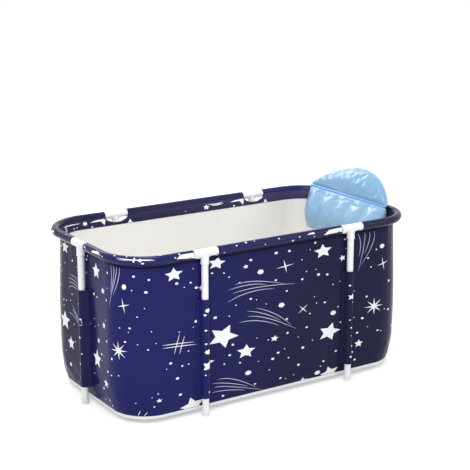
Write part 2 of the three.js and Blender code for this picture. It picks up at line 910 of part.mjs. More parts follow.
/** The four suction cups behind the neck, in one row. */
const cupPlaces = cupAcross.flatMap((across) => [
  { name: `right_${cupAcross.indexOf(across) + 1}`, across: -across },
  { name: `left_${cupAcross.indexOf(across) + 1}`, across },
]);

/** The liner's inner face at the head end, where a cup's lip comes nearest to it. */
function linerFaceX(across, z) {
  const inset = wallInset(z, swellShare(Math.abs(across) - cupLipRadius));
  return halfLength - inset - linerDepth - linerThickness;
}

/** Share of the way down the neck that lies at a height on its middle plane. */
const neckShareAt = (z) => (creaseZ - z) / neckDrop;

/** The neck's back face at a cup, measured along X. */
function neckBackX(across, z) {
  const share = neckShareAt(z);
  return neckPoint(across, share, neckHalfDepth(across, share, neckBackDepth)).x;
}

function cupSeat({ across }) {
  const back = neckBackX(across, cupHeightAboveFloor);
  const seat = bar(cupStemRadius + pieceGap, -cupStemSeat - pieceGap, cutOverrun, cupSides);
  return seat.rotateY(Math.PI / 2).translate(back, across, cupHeightAboveFloor);
}

/** A suction cup: a stem seated in the pillow and a bell whose lip meets the liner. */
function suctionCup({ across }) {
  const back = neckBackX(across, cupHeightAboveFloor);
  const lip = linerFaceX(across, cupHeightAboveFloor) - pieceGap - back;
  const bellTop = lip - cupBellDepth;
  const cup = turned(
    [
      [0, -cupStemSeat],
      [cupStemRadius, -cupStemSeat],
      [cupStemRadius, bellTop],
      [cupLipRadius, lip - cupLipThickness],
      [cupLipRadius, lip],
      [0, bellTop + cupLipThickness],
    ],
    cupSides,
  );
  return cup.rotateY(Math.PI / 2).translate(back, across, cupHeightAboveFloor);
}

// Finishes

const finish = (color, roughness) => ({ color, roughness, metalness: 0 });
const whitePlastic = finish(0xf0f1f2, 0.35);
const navyFabric = finish(0x24225c, 0.25);
const linerFilm = finish(0xe1e4e4, 0.4);
const whiteFilm = finish(0xf4f5f6, 0.4);
const foam = finish(0xe9eae4, 0.9);
const greySheet = finish(0x5b5d68, 0.6);
const rubber = finish(0x3c3d42, 0.8);
const blueFilm = finish(0x96c8eb, 0.2);
const clearRubber = finish(0xd4e4ee, 0.2);

// Assembly

const bathtub = new THREE.Group();

/** Add a named piece to a group. */
function addPiece(group, name, geometry, look) {
  const mesh = new THREE.Mesh(geometry, new THREE.MeshStandardMaterial(look));
  mesh.name = name;
  group.add(mesh);
  return mesh;
}

for (const { name, at, turn } of teePlaces) {
  const station = new THREE.Group();
  station.position.set(at.x, at.y, 0);
  station.rotation.z = turn;
  bathtub.add(station);
  const tee = addPiece(station, `tee_${name}`, teeConnector(), whitePlastic);
  tee.position.z = rimAxisHeight;
  addPiece(station, `leg_${name}`, legPipe(), whitePlastic);
  addPiece(station, `foot_${name}`, footCap(), whitePlastic);
  addPiece(station, `leg_pocket_${name}`, legPocket(), navyFabric);
}

const rim = new THREE.Group();
bathtub.add(rim);
for (const [side, signY] of [["front", -1], ["back", 1]]) {
  addPiece(rim, `rail_${side}`, rail(sideRun(signY, railRun)), whitePlastic);
  addPiece(rim, `rim_sleeve_${side}`, sleeve(sideRun(signY, sleeveRun)), navyFabric);
  for (const [end, signX] of [["left", -1], ["right", 1]]) {
    const corner = `corner_${side}_${end}`;
    const railPath = cornerRun(signX, signY, railRun);
    const sleevePath = cornerRun(signX, signY, sleeveRun);
    addPiece(rim, `rail_${corner}`, rail(railPath), whitePlastic);
    addPiece(rim, `rim_sleeve_${corner}`, sleeve(sleevePath), navyFabric);
  }
}
addPiece(rim, "hem_ring", hemRing(), navyFabric);

const tub = new THREE.Group();
bathtub.add(tub);
addPiece(tub, "outer_skin", outerSkin(), navyFabric);
addPiece(tub, "insulation_core", insulationCore(), foam);
addPiece(tub, "inner_liner", innerLiner(), linerFilm);
addPiece(tub, "base_welt", baseWelt(), whiteFilm);
addPiece(tub, "base_sheet", basePlate(sheetBottom, foamBottom - pieceGap), greySheet);
addPiece(tub, "floor_foam", basePlate(foamBottom, foamTop), foam);

const drain = new THREE.Group();
bathtub.add(drain);
addPiece(drain, "drain_body", drainBody(), whitePlastic);
addPiece(drain, "drain_seal", drainSeal(), rubber);
addPiece(drain, "drain_strainer", drainStrainer(), whitePlastic);
addPiece(drain, "drain_nut", drainNut(), whitePlastic);
addPiece(drain, "drain_cap", drainCap(), whitePlastic);

const pillow = new THREE.Group();
bathtub.add(pillow);
addPiece(pillow, "pillow_head", pillowHead(), blueFilm);
addPiece(pillow, "pillow_neck", pillowNeck(), blueFilm);
addPiece(pillow, "pillow_crease", pillowCrease(), blueFilm);
addPiece(pillow, "pillow_valve", pillowValve(), blueFilm);
addPiece(pillow, "pillow_valve_cap", pillowValveCap(), blueFilm);
for (const cup of cupPlaces) {
  addPiece(pillow, `suction_cup_${cup.name}`, suctionCup(cup), clearRubber);
}

export default bathtub;
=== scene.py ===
"""Foldable bathtub: a printed film tub that hangs from a ring of pipes on six legs.

Shapes are worked out in millimetres and put into Blender in metres. +X runs towards the pillow,
the front long side faces -Y and the floor is Z = 0. A place on the wall is given by its run, the
distance along the rim from the middle of the front side, anticlockwise seen from above, and its
height.
"""

import json
import logging
import math
from dataclasses import dataclass, field, replace
from enum import Enum
from typing import Callable, Iterable, Optional

import bmesh
import bpy
import numpy as np
from mathutils import Matrix, Vector

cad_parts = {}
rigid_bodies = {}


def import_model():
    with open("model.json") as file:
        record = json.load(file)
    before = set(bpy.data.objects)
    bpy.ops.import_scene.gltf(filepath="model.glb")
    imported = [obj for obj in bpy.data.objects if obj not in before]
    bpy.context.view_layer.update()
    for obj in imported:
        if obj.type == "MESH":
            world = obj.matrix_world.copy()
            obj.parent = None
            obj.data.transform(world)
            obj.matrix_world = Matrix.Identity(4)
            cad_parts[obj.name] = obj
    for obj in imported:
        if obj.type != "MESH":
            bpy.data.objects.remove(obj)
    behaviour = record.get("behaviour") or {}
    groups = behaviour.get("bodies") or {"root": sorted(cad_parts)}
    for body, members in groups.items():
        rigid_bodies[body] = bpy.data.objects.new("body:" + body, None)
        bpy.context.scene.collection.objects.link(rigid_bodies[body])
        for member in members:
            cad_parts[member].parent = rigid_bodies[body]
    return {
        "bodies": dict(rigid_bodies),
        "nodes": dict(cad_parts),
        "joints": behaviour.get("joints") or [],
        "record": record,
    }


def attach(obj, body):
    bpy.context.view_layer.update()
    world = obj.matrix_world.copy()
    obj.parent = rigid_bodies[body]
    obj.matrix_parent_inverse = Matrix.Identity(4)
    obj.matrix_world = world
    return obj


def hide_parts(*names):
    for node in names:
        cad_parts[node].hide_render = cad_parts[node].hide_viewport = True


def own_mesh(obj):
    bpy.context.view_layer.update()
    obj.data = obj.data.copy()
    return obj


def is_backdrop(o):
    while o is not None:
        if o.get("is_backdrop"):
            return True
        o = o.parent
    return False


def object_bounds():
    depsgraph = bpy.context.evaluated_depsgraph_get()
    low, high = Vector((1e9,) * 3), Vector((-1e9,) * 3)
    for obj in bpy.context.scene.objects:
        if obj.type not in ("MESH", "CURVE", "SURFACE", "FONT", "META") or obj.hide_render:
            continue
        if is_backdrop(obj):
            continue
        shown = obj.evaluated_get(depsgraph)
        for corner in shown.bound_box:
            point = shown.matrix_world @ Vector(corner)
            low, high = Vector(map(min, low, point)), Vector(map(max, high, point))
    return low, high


LOG = logging.getLogger("bathtub")
MM = 0.001
Array = np.ndarray
Pair = tuple[float, float]
Triple = tuple[float, float, float]
Surface = Callable[[Array, Array, float], Array]


class Body(Enum):
    """The moving bodies of the part that new pieces ride on."""

    ROOT = "root"
    BASE = "base"
    PILLOW = "pillow"
    PILLOW_HEAD = "pillow_head"
    VALVE_CAP = "valve_cap"
    DRAIN_CAP = "drain_cap"


class Station(Enum):
    """The six places of a leg."""

    FRONT_LEFT = "front_left"
    FRONT_RIGHT = "front_right"
    RIGHT_END = "right_end"
    BACK_RIGHT = "back_right"
    BACK_LEFT = "back_left"
    LEFT_END = "left_end"


class Motif(Enum):
    """The kinds of figure in the print, each with its number of points and its slimness."""

    STAR = (5, 0.49)
    SPARKLE = (4, 0.11)
    BURST = (8, 0.24)
    BLOSSOM = (8, 0.78)
    DOT = (4, 0.93)


# Meshes


@dataclass
class Shell:
    """A surface that grows patch by patch: points in millimetres, and faces that index them."""

    blocks: list[Array] = field(default_factory=list)
    faces: list[list[int]] = field(default_factory=list)
    count: int = 0

    def put(self, points: Array, faces: Array) -> None:
        """Adds points, and faces as rows of indexes into them."""
        flat = np.asarray(points, float).reshape(-1, 3)
        self.faces.extend((np.asarray(faces) + self.count).tolist())
        self.blocks.append(flat)
        self.count += len(flat)

    def grid(self, points: Array, wrap_rows: bool = False, wrap_cols: bool = True) -> "Shell":
        """Adds quads on points, shape (rows, columns, 3), that may close on itself either way."""
        rows, cols = points.shape[:2]
        r = np.arange(rows if wrap_rows else rows - 1)[:, None]
        c = np.arange(cols if wrap_cols else cols - 1)[None, :]
        rn, cn = (r + 1) % rows, (c + 1) % cols
        quads = np.stack(
            np.broadcast_arrays(r * cols + c, r * cols + cn, rn * cols + cn, rn * cols + c), -1
        )
        self.put(points, quads.reshape(-1, 4))
        return self

    def fan(self, ring: Array, middle: Optional[Array] = None) -> None:
        """Closes a ring of points with triangles round a middle, or round its mean."""
        hub = ring.mean(0) if middle is None else middle
        count = len(ring)
        k = np.arange(count)
        self.put(np.vstack([ring, hub]), np.stack([k, (k + 1) % count, np.full(count, count)], 1))

    def closed(self, rows: Array) -> "Shell":
        """Adds a body lofted through rings, shut at both ends, and returns the shell."""
        self.grid(rows)
        self.fan(rows[0])
        self.fan(rows[-1])
        return self

    def build(self, name: str, crease: float = 40.0) -> bpy.types.Object:
        """Makes the object at the origin; edges past the crease angle in degrees are sharp."""
        mesh = bpy.data.meshes.new(name)
        mesh.from_pydata((np.concatenate(self.blocks) * MM).tolist(), [], self.faces)
        work = bmesh.new()
        work.from_mesh(mesh)
        bmesh.ops.remove_doubles(work, verts=work.verts, dist=2e-6)
        bmesh.ops.dissolve_degenerate(work, edges=work.edges, dist=1e-7)
        bmesh.ops.recalc_face_normals(work, faces=work.faces)
        work.to_mesh(mesh)
        work.free()
        mesh.shade_smooth()
        mesh.set_sharp_from_angle(angle=math.radians(crease))
        return linked(name, mesh)


def linked(name: str, data: bpy.types.ID) -> bpy.types.Object:
    """Makes an object of a mesh, a light or a camera, and links it into the scene."""
    made = bpy.data.objects.new(name, data)
    bpy.context.scene.collection.objects.link(made)
    return made


def edged(corners: Array, steps: int) -> Array:
    """Points on the straight edges of a closed outline, so many to an edge."""
    t = np.linspace(0, 1, steps, endpoint=False)[None, :, None]
    return (corners[:, None] * (1 - t) + np.roll(corners, -1, 0)[:, None] * t).reshape(-1, 2)


def smoothstep(value: Array, low: float, high: float) -> Array:
    """An S curve from 0 at low to 1 at high: t squared times (3 - 2 t)."""
    t = np.clip((value - low) / (high - low), 0.0, 1.0)
    return t * t * (3 - 2 * t)


def crowded(count: int) -> Array:
    """Numbers from -1 to 1, closer together at both ends: minus a cosine."""
    return -np.cos(np.linspace(0, math.pi, count))


def bezier(p0: Array, p1: Array, p2: Array, p3: Array, share: Array) -> Array:
    """A cubic through its end points, pulled by the two points between them."""
    t = share[:, None]
    return p0 * (1 - t) ** 3 + 3 * p1 * t * (1 - t) ** 2 + 3 * p2 * t**2 * (1 - t) + p3 * t**3


def rounded(profile: Iterable[Pair], radius: float, steps: int = 4) -> Array:
    """Rounds the corners of a closed profile: a quadratic that starts a radius from each."""
    p = np.asarray(list(profile), float)
    before, after = np.roll(p, 1, 0) - p, np.roll(p, -1, 0) - p
    lengths = [np.linalg.norm(v, axis=1, keepdims=True) for v in (before, after)]
    a = p + before / lengths[0] * np.minimum(radius, lengths[0] * 0.45)
    b = p + after / lengths[1] * np.minimum(radius, lengths[1] * 0.45)
    t = np.linspace(0, 1, steps + 1)[None, :, None]
    curve = a[:, None] * (1 - t) ** 2 + 2 * p[:, None] * t * (1 - t) + b[:, None] * t**2
    return curve.reshape(-1, 2)


@dataclass(frozen=True)
class Spindle:
    """An axis in space on which turned shapes are placed."""

    place: Triple
    axis: Triple

    def frame(self) -> tuple[Array, Array, Array]:
        """Returns the axis and two directions square to it, each of length 1."""
        along = np.asarray(self.axis, float)
        along = along / np.linalg.norm(along)
        helper = np.array([0.0, 0.0, 1.0]) if abs(along[2]) < 0.9 else np.array([1.0, 0.0, 0.0])
        side = np.cross(helper, along)
        side = side / np.linalg.norm(side)
        return along, side, np.cross(along, side)

    def turn(self, profile: Array, sides: int = 48, lobes: int = 0, depth: float = 0.0) -> Array:
        """Turns a profile round the axis.

        With lobes, the widest radii gain the depth times a raised cosine of the angle.

        Args:
            profile: Pairs of radius and distance along the axis.
            sides: Points round the axis.
            lobes: Bumps round the outside, or 0.
            depth: The height of a bump.

        Returns:
            Rings, shape (profile, sides, 3).
        """
        profile = np.asarray(profile, float)
        along, side, across = self.frame()
        angle = np.linspace(0, 2 * math.pi, sides, endpoint=False)
        widest = profile[:, 0].max()
        outer = smoothstep(profile[:, 0], widest - 2.5, widest - 0.3)[:, None]
        bump = depth * (0.5 + 0.5 * np.cos(lobes * angle))[None, :] if lobes else 0.0
        radius = profile[:, :1] + bump * outer
        ring = radius[..., None] * (
            np.cos(angle)[None, :, None] * side + np.sin(angle)[None, :, None] * across
        )
        return np.asarray(self.place) + ring + profile[:, 1, None, None] * along


@dataclass(frozen=True)
class Ripples:
    """Soft unevenness over a wall: seeded cosines that close on themselves round the rim."""

    seed: int
    run_waves: Pair
    height_waves: Pair
    count: int = 16

    def at(self, run: Array, height: Array, length: float) -> Array:
        """Sums cosines that go whole times into the rim's length; mostly from -1 to 1."""
        rng = np.random.default_rng(self.seed)
        waves = np.round(length / rng.uniform(*self.run_waves, self.count))
        tall = 1 / rng.uniform(*self.height_waves, self.count) * rng.choice([-1, 1], self.count)
        phase = rng.uniform(0, 2 * math.pi, self.count)
        total = np.zeros(np.broadcast(run, height).shape)
        for w, t, p in zip(waves, tall, phase):
            total += np.cos(2 * math.pi * (w * run / length + t * height) + p)
        return total / math.sqrt(self.count)


# The tub's main lines


@dataclass(frozen=True)
class Rim:
    """The closed line down the middle of the roll: four straights and four quarter circles."""

    half_length: float = 585.0
    half_width: float = 310.0
    corner: float = 149.0
    height: float = 560.0
    leg_x: float = 296.0

    @property
    def spans(self) -> Array:
        """Lengths of the nine parts, from the middle of the front side and back to it."""
        long, short = self.half_length - self.corner, self.half_width - self.corner
        arc = math.pi * self.corner / 2
        return np.array([long, arc, 2 * short, arc, 2 * long, arc, 2 * short, arc, long])

    @property
    def length(self) -> float:
        """The whole way round."""
        return float(self.spans.sum())

    def at(self, run: Array) -> tuple[Array, Array]:
        """Finds places on the line.

        A straight is a corner's centre plus the corner radius outwards plus the way along, and
        a quarter circle turns the outward direction instead.

        Args:
            run: Distances along the rim.

        Returns:
            Places and outward directions, each with x and y on the last axis.
        """
        ends = np.cumsum(self.spans)
        run = np.mod(run, ends[-1])
        part = np.minimum(np.searchsorted(ends, run, side="right"), 8)
        along = run - (ends - self.spans)[part]
        bent = part % 2 == 1
        angle = part // 2 * (math.pi / 2) + np.where(bent, along / self.corner, 0.0)
        out = np.stack([np.sin(angle), -np.cos(angle)], -1)
        ahead = np.stack([np.cos(angle), np.sin(angle)], -1)
        long, short = self.half_length - self.corner, self.half_width - self.corner
        x = np.array([0, 1, 1, 1, 1, -1, -1, -1, -1])[part] * long
        y = np.array([-1, -1, -1, 1, 1, 1, 1, -1, -1])[part] * short
        place = np.stack([x, y], -1) + self.corner * out
        return place + np.where(bent, 0.0, along)[..., None] * ahead, out

    def beside(self, run: Array, inset: Array, height: Array) -> Array:
        """Points at an inset from the line and a height, with x, y and z on the last axis."""
        run, inset, height = np.broadcast_arrays(run, inset, height)
        place, out = self.at(run)
        return np.concatenate([place - inset[..., None] * out, height[..., None]], -1)

    def past(self, run: Array, place: float) -> Array:
        """How far a run lies past a place, the shorter way round."""
        return np.mod(run - place + self.length / 2, self.length) - self.length / 2

    def steps(self, spacing: float = 5.4) -> Array:
        """Runs from 0 all the way round at an even spacing."""
        return np.arange(0, self.length - spacing / 2, spacing)

    def leg_run(self, station: Station) -> float:
        """The run at which a leg stands."""
        quarter = self.length / 4
        return {
            Station.FRONT_RIGHT: self.leg_x,
            Station.RIGHT_END: quarter,
            Station.BACK_RIGHT: 2 * quarter - self.leg_x,
            Station.BACK_LEFT: 2 * quarter + self.leg_x,
            Station.LEFT_END: 3 * quarter,
            Station.FRONT_LEFT: 4 * quarter - self.leg_x,
        }[station]

    def from_leg(self, run: Array) -> Array:
        """The distance along the rim to the nearest leg."""
        return np.min([np.abs(self.past(run, self.leg_run(s))) for s in Station], axis=0)


@dataclass(frozen=True)
class Wall:
    """The hanging wall: upright at the base, flared out above it, and swollen between legs."""

    rim: Rim
    bottom: float = 28.0
    band_top: float = 88.0
    top: float = 538.0
    base_inset: float = 25.0
    leg_inset: float = 14.0
    belly: float = 9.0
    flat: float = 24.0
    reach: float = 115.0
    heel: float = 120.0
    drain_run: float = 2037.1
    channel: Pair = (30.0, 245.0)
    channel_half: float = 26.0
    channel_fade: float = 66.0
    fade_shape: Pair = (2.4, 0.55)
    gathers: Ripples = Ripples(3, (26.0, 80.0), (260.0, 900.0), 22)
    swells: Ripples = Ripples(8, (150.0, 520.0), (170.0, 700.0), 18)
    puckers: Ripples = Ripples(15, (34.0, 110.0), (50.0, 160.0), 22)

    def creases(self, run: Array, height: Array) -> Array:
        """How far the film stands out: gathers under the roll, swells, and puckers at the base."""
        rise = np.clip((height - self.band_top) / (self.top - self.band_top), 0, 1)
        length = self.rim.length
        top = np.exp(-(self.top - height) / 70.0) * self.gathers.at(run, height, length)
        middle = np.sin(math.pi * rise) * self.swells.at(run, height, length)
        base = np.exp(-(((height - 74.0) / 42.0) ** 2)) * self.puckers.at(run, height, length)
        away = smoothstep(self.rim.from_leg(run), 40.0, 190.0)
        return 0.75 * top * (0.35 + 0.65 * away) + 0.7 * middle + base * (0.2 + 0.55 * away)

    def inset(self, run: Array, height: Array) -> Array:
        """How far the outer face lies inside the rim's line.

        The wall stands upright at the legs and swells between them by a sine of the height. Its
        heel draws in to the base by a power of the height still missing to the heel's top. Behind
        the drain it is flat, and so it is in the channel that the drain rides up in folding.

        Args:
            run: Distance along the rim.
            height: Height above the floor.

        Returns:
            Millimetres inwards.
        """
        away = np.maximum(0.0, self.rim.from_leg(run) - self.flat)
        swell = 1 - np.exp(-((away / self.reach) ** 2))
        rise = np.clip((height - self.bottom) / (self.top - self.bottom), 0.0, 1.0)
        upright = self.leg_inset + rise**2
        bulge = self.belly * swell * np.sin(math.pi * rise**0.68)
        low = 1 - np.clip((height - self.bottom) / self.heel, 0.0, 1.0)
        inset = upright + (self.base_inset - upright) * low**2.1 - bulge
        inset = inset - self.creases(run, height)
        aside = np.abs(self.rim.past(run, self.drain_run))
        aside = np.maximum(0.0, aside - self.channel_half)
        (low, high), (across, up) = self.channel, self.fade_shape
        above = np.maximum(0.0, np.abs(height - (low + high) / 2) - (high - low) / 2)
        seat = 1 - smoothstep(np.hypot(across * aside, up * above), 0.0, self.channel_fade)
        return inset * (1 - seat) + self.base_inset * seat

    def in_channel(self, run: float, height: float, reach: float) -> bool:
        """Whether a figure of that reach would touch the drain as it rides up its channel."""
        aside = abs(self.rim.past(run, self.drain_run))
        return aside < self.channel_half - 2 + reach and height - reach < self.channel[1]

    def point(self, run: Array, height: Array, outward: float = 0.0) -> Array:
        """Points on the outer face, or so far outside it."""
        run, height = np.broadcast_arrays(np.asarray(run, float), np.asarray(height, float))
        return self.rim.beside(run, self.inset(run, height) - outward, height)

    def layer(self, outer: float, inner: float, heights: Array) -> Array:
        """A closed layer between two depths from the outer face, as rows from the bottom up."""
        run, up = self.rim.steps()[None, :], heights[:, None]
        return np.concatenate([self.point(run, up, -outer), self.point(run, up[::-1], -inner)])


# Finishes


def linear(colour: Triple) -> tuple[float, float, float, float]:
    """A screen colour from 0 to 1 as the linear colour that shaders take."""
    c = np.asarray(colour, float)
    low, high = c / 12.92, ((c + 0.055) / 1.055) ** 2.4
    r, g, b = np.where(c <= 0.04045, low, high)
    return float(r), float(g), float(b), 1.0


class Group:
    """A shader node group in the making, with the nodes that the effects share."""

    def __init__(self, name: str, output: str, **inputs: object) -> None:
        """Makes the group with its sockets: a tuple's is a colour, a number's is a value."""
        self.tree = bpy.data.node_groups.new(name, "ShaderNodeTree")
        sockets = self.tree.interface
        sockets.new_socket("Coordinates", in_out="INPUT", socket_type="NodeSocketVector")
        for key, value in inputs.items():
            kind = "NodeSocketColor" if isinstance(value, tuple) else "NodeSocketFloat"
            socket = sockets.new_socket(key.replace("_", " "), in_out="INPUT", socket_type=kind)
            socket.default_value = value
        kind = "NodeSocketColor" if output == "Colour" else "NodeSocketFloat"
        sockets.new_socket(output, in_out="OUTPUT", socket_type=kind)
        self.given = self.tree.nodes.new("NodeGroupInput").outputs
        self.output = self.tree.nodes.new("NodeGroupOutput").inputs[output]

    def noise(self, scale: str, detail: float) -> bpy.types.Node:
        """A noise node on the coordinates, with its scale from a named input."""
        noise = self.tree.nodes.new("ShaderNodeTexNoise")
        noise.inputs["Detail"].default_value = detail
        self.tree.links.new(self.given["Coordinates"], noise.inputs["Vector"])
        self.tree.links.new(self.given[scale], noise.inputs["Scale"])
        return noise

    def axes(self) -> list[bpy.types.NodeSocket]:
        """The coordinates' x, y and z."""
        parts = self.tree.nodes.new("ShaderNodeSeparateXYZ")
        self.tree.links.new(self.given["Coordinates"], parts.inputs[0])
        return list(parts.outputs)

    def math(self, kind: str, *values: object, clamp: bool = False) -> bpy.types.NodeSocket:
        """A Math node whose inputs are sockets or numbers, and its result."""
        node = self.tree.nodes.new("ShaderNodeMath")
        node.operation, node.use_clamp = kind, clamp
        for socket, value in zip(node.inputs, values):
            if isinstance(value, bpy.types.NodeSocket):
                self.tree.links.new(value, socket)
            else:
                socket.default_value = value
        return node.outputs[0]

    def give(self, result: bpy.types.NodeSocket) -> bpy.types.NodeTree:
        """Links the result to the output and hands over the tree."""
        self.tree.links.new(result, self.output)
        return self.tree


class Effects:
    """The shader node groups that the finishes share, each built once."""

    def __init__(self) -> None:
        """Builds the groups."""
        self.waves, self.marks = self._waves(), self._marks()
        self.tint, self.weave = self._tint(), self._weave()

    @staticmethod
    def _waves() -> bpy.types.NodeTree:
        """Height: a broad wave and a fine grain, each noise times its own depth, added."""
        wave, grain = {"Wave_Scale": 12.0, "Wave_Depth": 1.0}, {"Grain_Scale": 500.0}
        g = Group("film waves and grain", "Height", **wave, **grain, Grain_Depth=0.1)
        wave, grain = g.noise("Wave Scale", 2.0), g.noise("Grain Scale", 1.0)
        a = g.math("MULTIPLY", wave.outputs[0], g.given["Wave Depth"])
        b = g.math("MULTIPLY", grain.outputs[0], g.given["Grain Depth"])
        return g.give(g.math("ADD", a, b))

    @staticmethod
    def _marks() -> bpy.types.NodeTree:
        """Roughness: a base value, raised in cloudy patches and along short fine scuffs."""
        cloud = {"Patch_Scale": 7.0, "Patches": 0.08}
        scratch = {"Scuff_Scale": 60.0, "Scuffs": 0.1}
        g = Group("handling marks", "Roughness", Roughness=0.3, **cloud, **scratch)
        patch, scuff = g.noise("Patch Scale", 3.0), g.noise("Scuff Scale", 6.0)
        scuff.inputs["Distortion"].default_value = 1.6
        centred = g.math("SUBTRACT", patch.outputs[0], 0.5)
        cloudy = g.math("MULTIPLY", centred, g.given["Patches"])
        mask = g.math("MULTIPLY", g.math("SUBTRACT", scuff.outputs[0], 0.58), 6.0, clamp=True)
        scratched = g.math("MULTIPLY", mask, g.given["Scuffs"])
        first = g.math("ADD", g.given["Roughness"], cloudy)
        return g.give(g.math("ADD", first, scratched, clamp=True))

    @staticmethod
    def _tint() -> bpy.types.NodeTree:
        """Colour: two shades, mixed by a broad noise for a random tone and, with a slope, by x
        times y, which paints light as a brighter blue patch near the front-left and back-right
        corners.
        """
        shades = {"Colour": (0.8, 0.8, 0.8, 1.0), "Shade": (0.7, 0.7, 0.7, 1.0)}
        g = Group("uneven tint", "Colour", **shades, Scale=6.0, Slope=0.0)
        noise, (x, y, _) = g.noise("Scale", 4.0), g.axes()
        # Painted light: x times y is largest near the front-left and back-right corners, where the
        # slope pulls the mix to the first colour.
        level = g.math("SUBTRACT", 0.04, g.math("MULTIPLY", x, y))
        slope = g.math("MULTIPLY", level, g.given["Slope"])
        share = g.math("ADD", noise.outputs[0], slope, clamp=True)
        mix = g.tree.nodes.new("ShaderNodeMix")
        mix.data_type = "RGBA"
        for key, socket in (("Factor", share), ("A", g.given["Colour"]), ("B", g.given["Shade"])):
            g.tree.links.new(socket, mix.inputs[key])
        return g.give(mix.outputs["Result"])

    @staticmethod
    def _weave() -> bpy.types.NodeTree:
        """Height: threads as sines of x plus y and of z, crossed so that each in turn is on top."""
        g = Group("woven backing", "Height", Threads=3000.0, Depth=0.3)
        (x, y, z), threads = g.axes(), g.given["Threads"]
        u = g.math("SINE", g.math("MULTIPLY", g.math("ADD", x, y), threads))
        v = g.math("SINE", g.math("MULTIPLY", z, threads))
        return g.give(g.math("MULTIPLY", g.math("MULTIPLY", u, v), g.given["Depth"]))


@dataclass(frozen=True)
class Finish:
    """One finish: its colours, its gloss, and how strong each shared effect is on it."""

    name: str
    slot: str
    colour: Triple
    shade: Triple
    roughness: float = 0.3
    tint_scale: float = 6.0
    # A painted-light slope lays the first colour as a painted lit patch near the front-left and
    # back-right corners.
    tint_slope: float = 0.0
    wave_scale: float = 12.0
    wave_depth: float = 0.6
    grain_scale: float = 420.0
    grain_depth: float = 0.05
    bump: float = 0.25
    bump_distance: float = 0.002
    patches: float = 0.08
    scuffs: float = 0.1
    threads: float = 0.0
    specular: float = 0.5
    coat: float = 0.0
    sheen: float = 0.0
    subsurface: float = 0.0
    transmission: float = 0.0

    def material(self, effects: Effects) -> bpy.types.Material:
        """Builds the node material on the shared groups."""
        made = bpy.data.materials.new(self.name)
        made.use_nodes = True
        tree = made.node_tree
        shader = tree.nodes["Principled BSDF"]
        place = tree.nodes.new("ShaderNodeTexCoord").outputs["Object"]

        def group(kind: bpy.types.NodeTree, **values: object) -> bpy.types.Node:
            """Places a shared group on the object coordinates, with its own values."""
            node = tree.nodes.new("ShaderNodeGroup")
            node.node_tree = kind
            tree.links.new(place, node.inputs["Coordinates"])
            for key, value in values.items():
                node.inputs[key.replace("_", " ")].default_value = value
            return node

        shades = {"Colour": linear(self.colour), "Shade": linear(self.shade)}
        tint = group(effects.tint, **shades, Scale=self.tint_scale, Slope=self.tint_slope)
        marks = group(
            effects.marks, Roughness=self.roughness, Patches=self.patches, Scuffs=self.scuffs
        )
        wave = {"Wave_Scale": self.wave_scale, "Wave_Depth": self.wave_depth}
        grain = {"Grain_Scale": self.grain_scale, "Grain_Depth": self.grain_depth}
        waves = group(effects.waves, **wave, **grain)
        height = waves.outputs["Height"]
        if self.threads:
            weave = group(effects.weave, Threads=self.threads)
            add = tree.nodes.new("ShaderNodeMath")
            tree.links.new(height, add.inputs[0])
            tree.links.new(weave.outputs["Height"], add.inputs[1])
            height = add.outputs[0]
        bump = tree.nodes.new("ShaderNodeBump")
        bump.inputs["Strength"].default_value = self.bump
        bump.inputs["Distance"].default_value = self.bump_distance
        tree.links.new(height, bump.inputs["Height"])
        tree.links.new(bump.outputs["Normal"], shader.inputs["Normal"])
        tree.links.new(tint.outputs["Colour"], shader.inputs["Base Color"])
        tree.links.new(marks.outputs["Roughness"], shader.inputs["Roughness"])
        for key, value in {
            "Specular IOR Level": self.specular,
            "Coat Weight": self.coat,
            "Coat Roughness": 0.12,
            "Sheen Weight": self.sheen,
            "Subsurface Weight": self.subsurface,
            "Subsurface Scale": 0.004,
            "Transmission Weight": self.transmission,
        }.items():
            shader.inputs[key].default_value = value
        return made


# The navy's colour is the brighter royal blue of the painted lit patch near the front-left and
# back-right corners, its shade the greyer navy elsewhere; the print, streak, seam and band finishes
# made from it keep the same slope.
NAVY = Finish(
    "printed navy film", "navy_fabric", (0.13, 0.13, 0.375), (0.12, 0.118, 0.25),
    roughness=0.17, tint_scale=1.6, tint_slope=7.0, wave_scale=9.0, wave_depth=1.0,
    grain_depth=0.02, bump=0.3, bump_distance=0.004, specular=0.05, coat=0.05,
)
# The roll keeps a weaker painted-light slope of the same kind.
ROLL = replace(NAVY, name="navy roll film", roughness=0.1, specular=0.1, coat=0.12, tint_slope=4.0)
PRINT = replace(
    NAVY, name="white print", slot="white_welt", colour=(0.985, 0.985, 0.99),
    shade=(0.95, 0.952, 0.965), coat=0.04,
)
STREAK = replace(PRINT, name="pale print", colour=(0.82, 0.82, 0.9), shade=(0.74, 0.74, 0.85))
# Dark navy for the low ridges beside the legs and under the roll: painted shade, far darker than
# the film itself.
SHADED_SEAM = replace(
    NAVY, name="welded seam with painted shade", colour=(0.07, 0.065, 0.17), shade=(0.055, 0.05, 0.13), roughness=0.3
)
